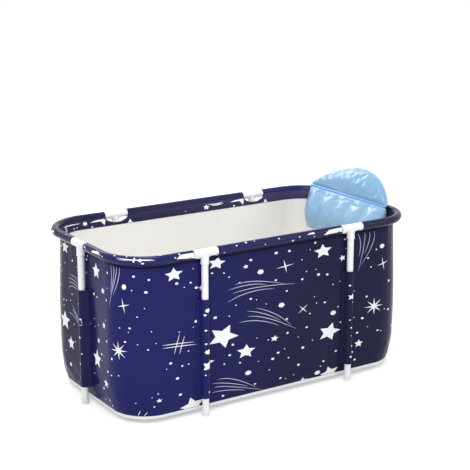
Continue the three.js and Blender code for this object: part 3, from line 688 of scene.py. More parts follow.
# Lighter, greyer navy for the inner band: the film's navy with a painted reflection and steam haze
# laid into it.
BAND_PAINTED_SHEEN = replace(
    NAVY, name="navy hem with painted reflection", colour=(0.24, 0.235, 0.36), shade=(0.18, 0.175, 0.3), roughness=0.3
)
PIPE = Finish(
    "white pipe", "white_plastic", (0.96, 0.962, 0.965), (0.935, 0.938, 0.945),
    wave_scale=25.0, wave_depth=0.3, grain_depth=0.12, bump=0.12, scuffs=0.16,
)
FITTING = replace(
    PIPE, name="white moulded fitting", colour=(0.95, 0.952, 0.955), shade=(0.92, 0.924, 0.93),
    roughness=0.38, grain_scale=900.0, grain_depth=0.3,
)
FOOT = replace(FITTING, name="foot cap", slot="foot_plastic", roughness=0.5)
LINER = Finish(
    "pale liner", "liner", (0.975, 0.96, 0.945), (0.945, 0.935, 0.92), roughness=0.36,
    wave_scale=7.0, wave_depth=1.0, grain_depth=0.08, bump=0.4, bump_distance=0.005,
    subsurface=0.08,
)
WELT = Finish(
    "white binding", "white_welt", (0.95, 0.955, 0.955), (0.9, 0.905, 0.91), roughness=0.42,
    grain_scale=700.0, grain_depth=0.4, bump=0.3,
)
UNDERSIDE = Finish(
    "grey coated cloth", "grey_sheet", (0.37, 0.375, 0.41), (0.32, 0.325, 0.36), roughness=0.6,
    threads=2400.0, bump=0.3, bump_distance=0.0006, sheen=0.1,
)
FOAM = Finish(
    "closed cell foam", "foam", (0.9, 0.9, 0.86), (0.84, 0.84, 0.79), roughness=0.85,
    grain_scale=650.0, grain_depth=1.0, bump=0.6, bump_distance=0.001,
)
PILLOW = Finish(
    "pale blue film", "blue_film", (0.55, 0.71, 0.82), (0.49, 0.66, 0.8), roughness=0.17,
    tint_scale=9.0, wave_scale=26.0, wave_depth=1.0, grain_depth=0.04, bump=0.3,
    bump_distance=0.004, coat=0.35, subsurface=0.12,
)
# A darker copy of the pillow film for the head lobe: painted shade that offsets the overhead light
# it catches.
PILLOW_HEAD = replace(
    PILLOW, name="pale blue head film with painted shade", colour=(0.5, 0.67, 0.79), shade=(0.44, 0.62, 0.77),
    coat=0.22,
)
PILLOW_WELD = replace(
    PILLOW, name="welded pillow film", colour=(0.54, 0.73, 0.89), shade=(0.48, 0.68, 0.86),
    bump=0.15,
)
# Deeper, more saturated blue for the crease between the lobes: painted shade.
PILLOW_CREASE_SHADE = replace(
    PILLOW_WELD, name="pillow crease film with painted shade", colour=(0.45, 0.68, 0.91), shade=(0.41, 0.63, 0.88)
)
VALVE = replace(
    FITTING, name="pale blue valve", slot="valve_plastic", colour=(0.73, 0.86, 0.94),
    shade=(0.69, 0.83, 0.93), roughness=0.3,
)
CUP = Finish(
    "clear soft rubber", "cup_rubber", (0.84, 0.9, 0.93), (0.8, 0.87, 0.91), roughness=0.18,
    transmission=0.7,
)
DRAIN = replace(FITTING, name="drain plastic", slot="drain_plastic", roughness=0.28)
SEAL = Finish(
    "dark rubber", "seal_rubber", (0.2, 0.2, 0.215), (0.16, 0.16, 0.175), roughness=0.6,
    grain_depth=0.4,
)


class Workshop:
    """Dresses pieces, sets them on their bodies and keeps count of them."""

    def __init__(self, nodes: dict[str, bpy.types.Object]) -> None:
        """Starts with the effects and the frame's CAD nodes by name."""
        self.nodes = nodes
        self.effects = Effects()
        self.materials: dict[str, bpy.types.Material] = {}
        self.made: list[bpy.types.Object] = []

    def material(self, finish: Finish) -> bpy.types.Material:
        """The material of a finish, built at its first use."""
        if finish.name not in self.materials:
            self.materials[finish.name] = finish.material(self.effects)
        return self.materials[finish.name]

    def piece(
        self, name: str, shell: Shell, finish: Finish, body: str = Body.ROOT.value,
        stands_for: Iterable[str] = (), folds: bool = False, crease: float = 40.0,
    ) -> bpy.types.Object:
        """Builds a piece from its shell and puts it in place.

        Args:
            name: The piece's name.
            shell: Its surface.
            finish: What it is made of.
            body: The body that it rides on.
            stands_for: The CAD nodes that it takes the place of.
            folds: Whether it gets a mesh of its own.
            crease: The angle in degrees past which an edge is sharp.

        Returns:
            The piece.
        """
        return self.dress(shell.build(name, crease), finish, body, stands_for, folds)

    def dress(
        self, made: bpy.types.Object, finish: Finish, body: str,
        stands_for: Iterable[str] = (), folds: bool = False,
    ) -> bpy.types.Object:
        """Gives an object its finish and body and, where asked, a mesh of its own."""
        made.data.materials.clear()
        made.data.materials.append(self.material(finish))
        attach(made, body)
        names = list(stands_for)
        if names:
            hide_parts(*names)
        if folds:
            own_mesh(made)
        self.made.append(made)
        LOG.info("%s: %d faces, %s, on %s", made.name, len(made.data.polygons), finish.name, body)
        return made

    def repaint(self, node: str, finish: Finish) -> None:
        """Gives a CAD node that stays in view its finish."""
        target = self.nodes[node]
        target.data.materials.clear()
        target.data.materials.append(self.material(finish))
        LOG.info("%s: kept from the frame, %s", node, finish.name)


# Frame


@dataclass
class PipeFrame:
    """The six legs with their feet and T-connectors."""

    rim: Rim
    pipe: float = 11.25
    bore: float = 9.75
    tee: float = 13.25
    tee_half: float = 45.0
    collar: float = 0.8
    collar_width: float = 6.0
    stem_drop: float = 38.0
    leg_top: float = 547.0
    leg_bottom: float = 4.3
    foot: float = 13.15
    foot_height: float = 20.0

    def leg(self, run: float) -> Shell:
        """A pipe: a closed ring profile turned round the leg's axis."""
        (x, y), _ = self.rim.at(np.array(run))
        outside, inside, low, high = self.pipe, self.bore, self.leg_bottom, self.leg_top
        profile = rounded([(outside, low), (outside, high), (inside, high), (inside, low)], 0.5)
        return Shell().grid(Spindle((x, y, 0), (0, 0, 1)).turn(profile, 56), wrap_rows=True)

    def sole(self, run: float) -> Shell:
        """A push-on cap: chamfered sole, a grip bead near its mouth, and a rounded lip."""
        (x, y), _ = self.rim.at(np.array(run))
        r, h = self.foot, self.foot_height
        profile = [(0.0, 0.0), (r - 2.0, 0.0), (r - 1.0, 0.35), (r - 0.3, 1.1), (r, 2.2)]
        profile += [(r, h - 4.6), (r + 0.35, h - 4.0), (r + 0.35, h - 2.6), (r, h - 2.0)]
        profile += [(r, h - 0.6), (r - 0.5, h), (self.pipe + 0.25, h), (self.pipe + 0.25, 4.2)]
        profile += [(0.0, 4.2)]
        return Shell().grid(Spindle((x, y, 0), (0, 0, 1)).turn(profile, 56))

    def connector(self, run: float) -> Shell:
        """A T-connector: a barrel turned round the rim's line, and a stem for the leg."""
        (x, y), (ox, oy) = self.rim.at(np.array(run))
        along = np.array([-oy, ox, 0.0])
        half, r = self.tee_half, self.tee
        lip, wide = r + self.collar, self.collar_width
        outline = [(-half, lip - 0.6), (-half + 0.6, lip), (-half + wide - 0.5, lip)]
        outline += [(-half + wide, lip - 0.35), (-half + wide + 0.5, r)]
        outline = outline + [(-a, b) for a, b in reversed(outline)]
        inner = self.pipe + 0.3
        outline += [(half, inner), (2.0, inner), (2.0, 1.5), (-2.0, 1.5), (-2.0, inner)]
        outline += [(-half, inner)]
        spindle = Spindle((x, y, self.rim.height), tuple(along))
        shell = Shell().grid(spindle.turn([(b, a) for a, b in outline], 56), wrap_rows=True)
        return shell.grid(self._stem(x, y, along, lip, inner), wrap_rows=True)

    def _stem(self, x: float, y: float, along: Array, lip: float, inner: float) -> Array:
        """The stem's rings, from inside the barrel out over the fillet and down to its mouth.

        The upper rings lie on the barrel: their radius grows by the fillet times the squared
        cosine of the angle from the barrel's direction, and their height is the barrel's there.
        """
        angle = np.linspace(0, 2 * math.pi, 56, endpoint=False)
        side = np.array([-along[1], along[0], 0.0])
        r, top, mouth = self.tee, self.rim.height, self.rim.height - self.stem_drop
        share = np.array([1.0, 0.72, 0.46, 0.25, 0.1, 0.0])[:, None]
        lengthwise = np.cos(angle)[None, :] ** 2
        radius = r + 7.0 * share * lengthwise
        deep = np.clip(r**2 - (radius * np.sin(angle)) ** 2, 0.0, None)
        drop = np.sqrt(deep) + 2.0 * (1 - share) ** 2 * lengthwise
        drop = np.maximum(drop, 0.6) + 6.5 * (1 - np.sqrt(share)) * lengthwise
        ceiling = top - 12.7
        lower = [(r, mouth + 7.0), (lip - 0.35, mouth + 6.3), (lip, mouth + 5.8)]
        lower += [(lip, mouth + 0.7), (lip - 0.6, mouth), (inner, mouth), (inner, ceiling)]
        lower = np.array(lower + [(4.0, ceiling), (4.0, top - 2.0)])
        radii = np.concatenate([radius, np.repeat(lower[:, :1], len(angle), 1)])
        heights = np.concatenate([top - drop, np.repeat(lower[:, 1:], len(angle), 1)])
        flat = np.cos(angle)[None, :, None] * along + np.sin(angle)[None, :, None] * side
        points = np.array([x, y, 0.0]) + radii[..., None] * flat
        points[..., 2] = heights
        return points

    def build(self, shop: Workshop) -> None:
        """Makes every leg, foot and connector."""
        for station in Station:
            key, run = station.value, self.rim.leg_run(station)
            shop.piece(f"pipe_{key}", self.leg(run), PIPE, f"leg_{key}", [f"leg_{key}"])
            shop.piece(f"cap_{key}", self.sole(run), FOOT, f"leg_{key}", [f"foot_{key}"])
            shop.piece(f"connector_{key}", self.connector(run), FITTING, stands_for=[f"tee_{key}"])


@dataclass
class Roll:
    """The film wrapped round the rim pipes, in six stretches between the connectors."""

    rim: Rim
    radius: float = 15.0
    inner: float = 12.0
    clear: float = 45.3
    stretches: tuple[tuple[str, Station, Station], ...] = (
        ("front", Station.FRONT_LEFT, Station.FRONT_RIGHT),
        ("corner_front_right", Station.FRONT_RIGHT, Station.RIGHT_END),
        ("corner_back_right", Station.RIGHT_END, Station.BACK_RIGHT),
        ("back", Station.BACK_RIGHT, Station.BACK_LEFT),
        ("corner_back_left", Station.BACK_LEFT, Station.LEFT_END),
        ("corner_front_left", Station.LEFT_END, Station.FRONT_LEFT),
    )
    creases: Ripples = Ripples(21, (22.0, 70.0), (90.0, 400.0), 20)

    def point(self, run: Array, angle: Array, outward: float = 0.0) -> Array:
        """Points on the roll at an angle in degrees, 0 outwards and 90 up, or outside it."""
        run, angle = np.broadcast_arrays(np.asarray(run, float), np.asarray(angle, float))
        turn = np.radians(angle)
        ripple = self.creases.at(run, self.radius * turn, self.rim.length)
        near = 1 - smoothstep(self.rim.from_leg(run), self.clear, self.clear + 55.0)
        radius = self.radius + outward - 0.12 + 0.1 * ripple * (1 + 1.2 * near)
        height = self.rim.height + radius * np.sin(turn)
        return self.rim.beside(run, -radius * np.cos(turn), height)

    def stretch(self, start: float, end: float) -> Shell:
        """One stretch: its outside along the run, rounded at the ends, and back inside."""
        if end < start:
            end += self.rim.length
        a, b = start + self.clear, end - self.clear
        count = max(8, int((b - a) / 5.0))
        run = np.linspace(a, b, count)[:, None]
        angle = np.linspace(0, 360, 40, endpoint=False)[None, :]
        ends = (-2.0, -0.7, -0.15)
        outer = self.point(run[1:-1], angle)
        first = [self.point(run[:1], angle, e) for e in ends]
        last = [self.point(run[-1:], angle, e) for e in ends[::-1]]
        hollow = self.point(np.linspace(b, a, count)[:, None], angle, self.inner - self.radius)
        near = [self.point(run[:1] + 0.6, angle), self.point(run[-1:] - 0.6, angle)]
        rows = np.concatenate([*first, near[0], outer, near[1], *last, hollow])
        return Shell().grid(rows, wrap_rows=True)

    def build(self, shop: Workshop) -> None:
        """Makes the six stretches."""
        for name, a, b in self.stretches:
            shell = self.stretch(self.rim.leg_run(a), self.rim.leg_run(b))
            shop.piece(f"roll_{name}", shell, ROLL, stands_for=[f"rim_sleeve_{name}"], crease=50)


# Fabric


@dataclass
class Hem:
    """The folded edge: it hugs the roll from below and hangs inside as a band with windows."""

    rim: Rim
    wall: Wall
    window: float = 48.0
    window_drop: float = 24.0
    band_bottom: float = 526.0
    hug: float = 15.35
    stem_gap: float = 15.2
    flutter: Ripples = Ripples(33, (45.0, 190.0), (60.0, 220.0), 16)

    def section(self) -> Array:
        """The fold's outline as pairs of inset and height, round the wall's top."""
        turn = np.radians(np.linspace(-46, 0, 10))
        hug = np.stack([np.cos(turn), np.sin(turn)], 1) * self.hug + [0.0, self.rim.height]
        inside = [(17.4, 560.4), (18.6, 556.5), (20.2, 551.5), (22.0, 545.5), (23.2, 539.5)]
        inside += [(23.5, 534.0), (23.5, 529.5), (23.3, self.band_bottom + 0.4)]
        inside += [(22.9, self.band_bottom), (22.5, self.band_bottom + 0.4), (22.4, 529.5)]
        inside += [(22.4, 534.0), (22.4, 538.3), (18.5, 538.4), (14.6, 538.4), (12.6, 538.9)]
        inside += [(11.6, 540.5), (10.9, 545.0)]
        return np.concatenate([hug, np.array(inside)])

    def shell(self) -> Shell:
        """Sweeps the fold round the rim.

        In a window no point lies above the half oval, which is the window's drop times the
        root of 1 less the squared share of its half width, and none reaches the stem.
        """
        section = self.section()
        run = self.rim.steps(3.0)[:, None]
        inset = np.repeat(section[None, :, 0], len(run), 0)
        height = np.repeat(section[None, :, 1], len(run), 0)
        away = self.rim.from_leg(run)
        share = np.clip(away / self.window, 0, 1)
        sill = self.rim.height - self.window_drop * np.sqrt(np.clip(1 - share**2, 0, 1))
        lowered = np.where(share < 1, np.minimum(height, sill), height)
        inset = np.where(share < 1, np.maximum(inset, self.stem_gap), inset)
        hang = smoothstep(-lowered, -552.0, -530.0)
        inside = inset > 17.0
        wave = 0.5 * self.flutter.at(run, lowered, self.rim.length) * hang
        inset = inset + np.where(inside, wave, 0.0) * (inset > 22.8)
        return Shell().grid(self.rim.beside(run, inset, lowered), wrap_rows=True)

    def band_point(self, run: Array, height: Array, outward: float = 0.0) -> Array:
        """Points on the band's inner face, or so far inwards from it."""
        run, height = np.broadcast_arrays(np.asarray(run, float), np.asarray(height, float))
        section = self.section()[10:18]
        order = np.argsort(section[:, 1])
        inset = np.interp(height, section[order, 1], section[order, 0]) + 0.5 + outward
        return self.rim.beside(run, inset, height)

    def weld(self) -> Shell:
        """The weld that closes the roll: a low ridge on the wall all the way round, coloured dark
        as painted shade under the roll.
        """
        run = self.rim.steps()[None, :]
        profile = [(529.0, -0.3), (529.2, 0.35), (530.6, 0.6), (532.2, 0.25), (533.6, 0.6)]
        profile += [(535.4, 0.35), (535.8, -0.3)]
        rows = [self.wall.point(run, np.array([[tall]]), out) for tall, out in profile]
        return Shell().grid(np.concatenate(rows), wrap_rows=True)

    def build(self, shop: Workshop) -> None:
        """Makes the hem and its weld."""
        shop.piece("hem", self.shell(), BAND_PAINTED_SHEEN, stands_for=["hem_ring"], crease=55)
        shop.piece("shaded_roll_weld", self.weld(), SHADED_SEAM, folds=True)


@dataclass
class Pocket:
    """A sleeve of film on the wall that guides a leg, welded down both sides."""

    rim: Rim
    wall: Wall
    radius: float = 13.6
    thickness: float = 1.0
    half_flange: float = 23.0
    leaves: float = 62.0
    seam_beside: float = 25.0
    bottom: float = 63.0
    top: float = 405.0

    def outline(self, gap: Array, radius: float, lift: float) -> Array:
        """The sleeve's section at each height: an arc round the leg, and a tent to each weld.

        Args:
            gap: How far the wall lies behind the leg's middle, one for each row.
            radius: The arc's radius.
            lift: The film's height over the wall at its edge.

        Returns:
            Pairs of across and outward, shape (rows, points, 2).
        """
        turn = np.radians(np.linspace(0, self.leaves, 14))
        arc = np.stack([radius * np.sin(turn), radius * np.cos(turn)], 1)
        share = np.linspace(0, 1, 15)[1:]
        rows = []
        for g in gap:
            start, end = arc[-1], np.array([self.half_flange, lift - g])
            foot = end - [3.6, 0.0]
            side = bezier(start, start + 0.6 * (foot - start), foot, end, share)
            half = np.concatenate([arc, side])
            rows.append(np.concatenate([half[::-1] * [-1, 1], half[1:]]))
        return np.array(rows)

    @staticmethod
    def slack(run: float, height: Array) -> Array:
        """How far the film stands off the leg: two sines of the height, multiplied."""
        return 0.16 * np.sin(height / 11.0 + run) * np.sin(height / 37.0)

    def shell(self, run: float) -> Shell:
        """The sleeve from its lower mouth to its upper one."""
        height = np.linspace(self.bottom, self.top, 80)
        place, out = self.rim.at(np.array(run))
        ahead = np.array([-out[1], out[0]])
        gap = self.wall.inset(np.full_like(height, run), height)
        flare = 0.5 * np.exp((height - self.top) / 5.0) + 0.3 * np.exp((self.bottom - height) / 5.0)
        grow = ((flare + self.slack(run, height)) / self.radius + 1)[:, None, None]
        outer = self.outline(gap, self.radius, 1.0)
        inner = self.outline(gap, self.radius - self.thickness, 0.12)
        outer = np.where(outer[..., 1:] > 0, outer * grow, outer)
        inner = np.where(inner[..., 1:] > 0, inner * grow, inner)

        def lift(section: Array) -> Array:
            """Turns across and outward into points at each row's height."""
            flat = place + section[..., :1] * ahead + section[..., 1:] * out
            tall = np.broadcast_to(height[:, None, None], (*section.shape[:2], 1))
            return np.concatenate([flat, tall], -1)

        loops = np.concatenate([lift(outer), lift(inner)[:, ::-1]], 1)
        shell = Shell().grid(loops)
        for row in (loops[0], loops[-1]):
            count = row.shape[0] // 2
            shell.grid(np.stack([row[:count], row[count:][::-1]]), wrap_cols=False)
        return shell

    def point(self, run: float, across: Array, height: Array, outward: float = 0.0) -> Array:
        """Points on the front half circle, by the distance across it and the height."""
        across, height = np.broadcast_arrays(np.asarray(across, float), np.asarray(height, float))
        place, out = self.rim.at(np.array(run))
        ahead = np.array([-out[1], out[0]])
        turn = across / self.radius
        radius = self.radius + outward + self.slack(run, height)
        flat = place + (radius * np.sin(turn))[..., None] * ahead
        flat = flat + (radius * np.cos(turn))[..., None] * out
        return np.concatenate([flat, height[..., None]], -1)

    def seam(self, run: float) -> Shell:
        """The panel seam beside a leg: a low strip on the wall from the roll to the base, coloured
        dark as painted shade beside the pocket.
        """
        height = np.linspace(30.0, 537.0, 90)
        across = np.array([-1.3, -0.8, 0.8, 1.3])
        raised = np.array([0.0, 0.5, 0.5, 0.0])
        line = run + self.seam_beside + across
        grid = self.wall.point(line[None, :], height[:, None])
        _, out = self.rim.at(line)
        grid[..., :2] += (raised[:, None] * out)[None]
        under = self.wall.point(line[None, ::-1], height[:, None], -0.3)
        return Shell().closed(np.concatenate([grid, under], 1))

    def build(self, shop: Workshop) -> None:
        """Makes the six pockets and the seams beside them, dark with painted shade."""
        for station in Station:
            run, key = self.rim.leg_run(station), station.value
            name = f"leg_pocket_{key}"
            shop.piece(f"pocket_{key}", self.shell(run), NAVY, stands_for=[name], folds=True)
            shop.piece(f"shaded_panel_seam_{key}", self.seam(run), SHADED_SEAM, folds=True)


@dataclass
class Basin:
    """The wall's layers, the liner with its floor, and the base with its binding."""

    rim: Rim
    wall: Wall
    skin: float = 1.0
    core_depth: float = 1.3
    core: float = 4.5
    core_bottom: float = 30.2
    liner_depth: float = 6.1
    liner: float = 1.0
    liner_floor: float = 30.2
    welt_bottom: float = 18.0
    welt_top: float = 27.7
    sheet_inset: float = 27.5

    def heights(self, bottom: float, count: int) -> Array:
        """Heights up the wall, closer together at the base and the top."""
        share = np.linspace(0, 1, count)
        eased = share - 0.09 * np.sin(2 * math.pi * share)
        return bottom + (self.wall.top - bottom) * eased

    def plan(self, inset: float, share: float, height: Array, run: Array) -> Array:
        """A level ring at an inset from the rim's line, shrunk to a share of its size."""
        place, out = self.rim.at(run)
        flat = (place - inset * out) * share
        return np.concatenate([flat, np.broadcast_to(height, run.shape)[..., None]], -1)

    def tray(self) -> Shell:
        """The liner: down inside the wall, round a soft corner, across the floor, and back."""
        run = self.rim.steps()

        def face(depth: float, floor: float, soft: float) -> Array:
            """Rings from the top of one face down and in, with its depth, floor and corner."""
            down, edge = self.heights(floor + soft, 60)[::-1], self.wall.base_inset + depth
            rows = [self.wall.point(run[None, :], down[:, None], -depth)]
            for turn in np.radians([18, 36, 54, 72, 90]):
                inset, tall = (soft * (1 - f(turn)) for f in (math.cos, math.sin))
                rows.append(self.plan(edge + inset, 1.0, floor + tall, run)[None])
            for share in (0.97, 0.93, 0.88, 0.8, 0.7, 0.6, 0.5, 0.4, 0.3, 0.2, 0.1):
                rows.append(self.plan(edge + soft, share, floor, run)[None])
            return np.concatenate(rows)

        inner = face(self.liner_depth + self.liner, self.liner_floor + self.liner, 12.0)
        outer = face(self.liner_depth, self.liner_floor, 13.0)[::-1]
        shell = Shell().grid(inner).grid(outer).grid(np.stack([outer[-1], inner[0]]))
        shell.fan(inner[-1])
        shell.fan(outer[0])
        return shell

    def ring(self, profile: Array) -> Shell:
        """Sweeps a closed profile of inset and height round the rim."""
        rows = self.rim.beside(self.rim.steps()[:, None], profile[:, 0], profile[:, 1])
        return Shell().grid(rows, wrap_rows=True)

    def slab(self, bottom: float, top: float, soft: float) -> Shell:
        """A level sheet with a rounded edge that fills the base inside the binding."""
        run = self.rim.steps()
        half = (top - bottom) / 2
        turns = np.radians(np.linspace(-90, 90, 9))
        inset = self.sheet_inset + soft
        edge = []
        for t in turns:
            tall = bottom + half * (1 + math.sin(t))
            edge.append(self.plan(inset - soft * math.cos(t), 1.0, tall, run))
        lower = [self.plan(inset, s, bottom, run) for s in (0.1, 0.4, 0.7, 0.9)]
        upper = [self.plan(inset, s, top, run) for s in (0.9, 0.7, 0.4, 0.1)]
        return Shell().closed(np.array(lower + edge + upper))

    def build(self, shop: Workshop) -> None:
        """Makes the layers of the wall and the base."""
        rows = self.wall.layer(0.0, self.skin, self.heights(self.wall.bottom, 74))
        skin = Shell().grid(rows, wrap_rows=True)
        shop.piece("printed_wall", skin, NAVY, stands_for=["outer_skin"], folds=True)
        end = self.core_depth + self.core
        rows = self.wall.layer(self.core_depth, end, self.heights(self.core_bottom, 60))
        core = Shell().grid(rows, wrap_rows=True)
        pad = shop.piece("wall_padding", core, FOAM, stands_for=["insulation_core"], folds=True)
        shop.piece("liner", self.tray(), LINER, stands_for=["inner_liner"], folds=True, crease=60)
        floor = self.liner_floor + self.liner
        ridge = [(47.0, -0.3), (47.6, 0.5), (49.0, 0.9), (50.4, 0.35), (51.8, 0.9), (53.2, 0.5)]
        weld = np.array([*ridge, (53.8, -0.3)]) + [0.0, floor]
        shop.piece("liner_weld", self.ring(weld), LINER, folds=True)
        low, high = self.welt_bottom, self.welt_top
        welt = rounded([(24.0, low), (24.0, high), (27.2, high), (27.2, low)], 1.1)
        base = Body.BASE.value
        shop.piece("binding", self.ring(welt), WELT, base, ["base_welt"])
        sheet = self.slab(18.4, 19.6, 0.6)
        shop.piece("underside_sheet", sheet, UNDERSIDE, base, ["base_sheet"])
        pad = shop.piece("floor_pad", self.slab(19.9, 29.9, 5.0), FOAM, base, ["floor_foam"])


# Print


@dataclass(frozen=True)
class Mark:
    """One figure of the print: kind, place, half height, tilt in degrees, and width to height."""

    kind: Motif
    run: float
    height: float
    size: float
    tilt: float = 0.0
    wide: float = 1.55


STAR, SPARKLE, BURST, BLOSSOM, DOT = Motif
FIGURES: dict[Motif, tuple[tuple[float, ...], ...]] = {
    STAR: (
        (-220, 258, 41, -27, 1.45), (220, 191, 33, -19), (-132, 190, 25, -4, 1.48),
        (188, 489, 25, 3, 1.6), (-403, 500, 23, 1, 1.5), (-287, 178, 21, -10, 1.6),
        (-242, 513, 22, -12, 1.55), (-332, 34, 34, 14, 1.45), (234, 32, 28, 16, 1.5),
        (117, 24, 17, 5, 1.5), (354, 122, 15, -2, 1.3), (299, 313, 12, -12, 1.6),
        (-465, 84, 7.5, 8, 1.6), (-18, 215, 11, -11), (-701, 431, 11, 7, 1.25),
        (-130, 484, 7.5, 11), (273, 452, 11.5, 18, 1.25), (-690, 116, 15, -4, 1.2),
        (-986, 253, 34, 0, 1.05), (-754, 182, 33, 0, 0.92), (-749, 486, 27, 3, 0.95),
        (-948, 180, 25, 3, 0.88), (-981, 515, 24, 0, 1.1), (-692, 317, 12, 8, 0.9),
        (-300, 440, 9, 8, 1.3),
    ),
    BURST: (
        (417, 252, 31, 0, 1.35), (-608, 253, 31, 4, 1.12),
    ),
    SPARKLE: (
        (28, 461, 24, 8, 1.6), (456, 405, 25, 12, 1.2), (102, 298, 20, 40, 1.4),
        (-587, 406, 27, 14, 0.95), (-816, 286, 18, 20, 1.1),
    ),
    BLOSSOM: (
        (237, 258, 8.8), (-72, 457, 8.8), (451, 469, 8.8), (-122, 111, 8.8), (178, 45, 8.8),
        (11, 328, 8.8), (-290, 226, 8.8, 0, 1.9), (-293, 368, 7.4), (-584, 468, 10, 0, 0.95),
    ),
}
PATTERN = tuple(Mark(kind, *row) for kind, rows in FIGURES.items() for row in rows)
FRONT_DOTS: tuple[Triple, ...] = (
    (169, 409, 5.8), (-8, 512, 5.7), (102, 158, 5.6), (-249, 328, 5.6), (-396, 148, 5.4),
    (-506, 454, 5.4), (-24, 142, 5.4), (-278, 143, 5.4), (367, 215, 5.1), (-320, 443, 5.1),
    (-393, 469, 5.1), (-384, 88, 5.2), (-321, 329, 6.1), (325, 94, 5.7), (87, 97, 5.0),
    (-422, 206, 4.9), (46, 511, 4.8), (-110, 503, 4.8), (-2, 160, 4.8), (-215, 44, 4.6),
    (207, 403, 4.6), (15, 61, 4.5), (343, 61, 4.5), (346, 164, 4.5), (-183, 223, 4.4),
    (273, 217, 4.4), (99, 404, 4.4), (198, 304, 4.3), (-195, 188, 4.3), (199, 86, 4.3),
    (-548, 505, 4.3), (36, 224, 4.2), (154, 524, 4.2), (253, 113, 4.1), (-12, 419, 4.1),
    (436, 158, 4.1), (118, 229, 4.1), (384, 293, 4.0), (-90, 62, 4.0), (33, 275, 4.0),
    (-113, 371, 4.0), (387, 434, 3.8), (-564, 334, 3.8), (-495, 494, 3.8), (-581, 287, 3.7),
    (-377, 187, 3.6), (-260, 482, 3.6), (33, 374, 3.6), (-341, 463, 3.6), (-155, 154, 3.5),
    (492, 334, 5.3), (492, 226, 5.2), (537, 151, 6.7),
)
END_DOTS: tuple[Triple, ...] = (
    (-699, 431, 6.0), (-738, 251, 7.8), (-963, 97, 7.3), (-713, 92, 5.0), (-770, 403, 4.9),
    (-672, 164, 4.7), (-717, 211, 4.4), (-861, 353, 4.4), (-926, 479, 4.5), (-668, 500, 4.2),
    (-672, 269, 4.1), (-680, 59, 4.0), (-833, 145, 3.9), (-846, 83, 3.8), (-995, 325, 3.8),
    (-861, 208, 3.8), (-675, 407, 3.7), (-747, 398, 3.7), (-818, 509, 3.7), (-1035, 439, 5.1),
    (-1020, 511, 5.1), (-1026, 370, 4.4), (-1053, 460, 4.2), (-642, 217, 4.7),
)

Streak = tuple[Pair, Pair, Pair]
STREAKS: tuple[Streak, ...] = (
    ((-173, 428), (-92, 428), (27, 400)), ((-200, 414), (-117, 420), (-51, 410)),
    ((-182, 400), (-77, 406), (69, 394)), ((-201, 373), (-117, 394), (-18, 391)),
    ((-93, 336), (-15, 301), (51, 250)), ((-128, 331), (-60, 310), (8, 274)),
    ((-126, 312), (-42, 290), (74, 232)), ((-158, 296), (-81, 289), (0, 258)),
    ((-239, 110), (-171, 96), (-78, 44)), ((-261, 100), (-191, 86), (-119, 60)),
    ((-251, 82), (-191, 74), (-53, 31)), ((-261, 66), (-197, 62), (-126, 46)),
    ((338, 534), (352, 492), (345, 446)), ((368, 532), (368, 490), (346, 391)),
    ((392, 532), (390, 496), (369, 452)), ((410, 530), (406, 484), (357, 412)),
    ((-648, 530), (-641, 492), (-647, 436)), ((-629, 532), (-630, 488), (-654, 388)),
    ((-615, 532), (-621, 490), (-639, 442)), ((-602, 532), (-608, 488), (-633, 433)),
    ((-951, 426), (-906, 424), (-887, 414)), ((-960, 412), (-920, 412), (-884, 403)),
    ((-957, 396), (-924, 400), (-879, 392)), ((-962, 373), (-930, 388), (-870, 380)),
    ((-933, 320), (-909, 298), (-878, 266)), ((-957, 288), (-915, 280), (-863, 238)),
    ((-935, 306), (-905, 286), (-842, 228)),
)
DASHES: tuple[Streak, ...] = (
    ((-453, 273), (-392, 267), (-330, 260)), ((-452, 263), (-387, 257), (-321, 250)),
    ((-407, 235), (-397, 266), (-386, 298)), ((-387, 230), (-377, 259), (-366, 288)),
    ((-545, 30), (-540, 40), (-534, 50)), ((-521, 30), (-515, 37), (-509, 44)),
)
BAND_MARKS = tuple(
    Mark(*row)
    for row in (
        (BLOSSOM, -1235, 546, 7, 0, 1.3), (STAR, 1585, 542, 11, 6, 1.3),
        (DOT, 1529, 548, 3, 0, 1.3), (DOT, -1262, 531, 3, 0, 1.3),
        (DOT, 1462, 532, 3.5, 0, 1.3), (STAR, 560, 541, 9, 10, 1.2),
        (DOT, -1180, 536, 2.5, 0, 1.3), (DOT, 960, 541, 3, 0, 1.3),
        (STAR, -40, 541, 10, 10, 1.3), (BLOSSOM, 150, 542, 6, 0, 1.3),
        (STAR, -520, 541, 9, 10, 1.3), (DOT, -900, 538, 3, 0, 1.3),
    )
)
BAND_BLADES: tuple[tuple[Pair, ...], ...] = (
    ((-1254, 547), (-1275, 552), (-1313, 554), (-1315, 548), (-1280, 547)),
    ((-1296, 548), (-1316, 550), (-1311, 531)), ((-1424, 528), (-1406, 528), (-1414, 541)),
)
BAND_LINES: tuple[Streak, ...] = (
    ((-1112, 553), (-1160, 551), (-1215, 549)), ((-1124, 530), (-1125, 541), (-1126, 553)),
    ((-1132, 529), (-1133, 541), (-1134, 552)), ((1512, 553), (1545, 549), (1578, 553)),
    ((1508, 549), (1538, 545), (1566, 548)),
)


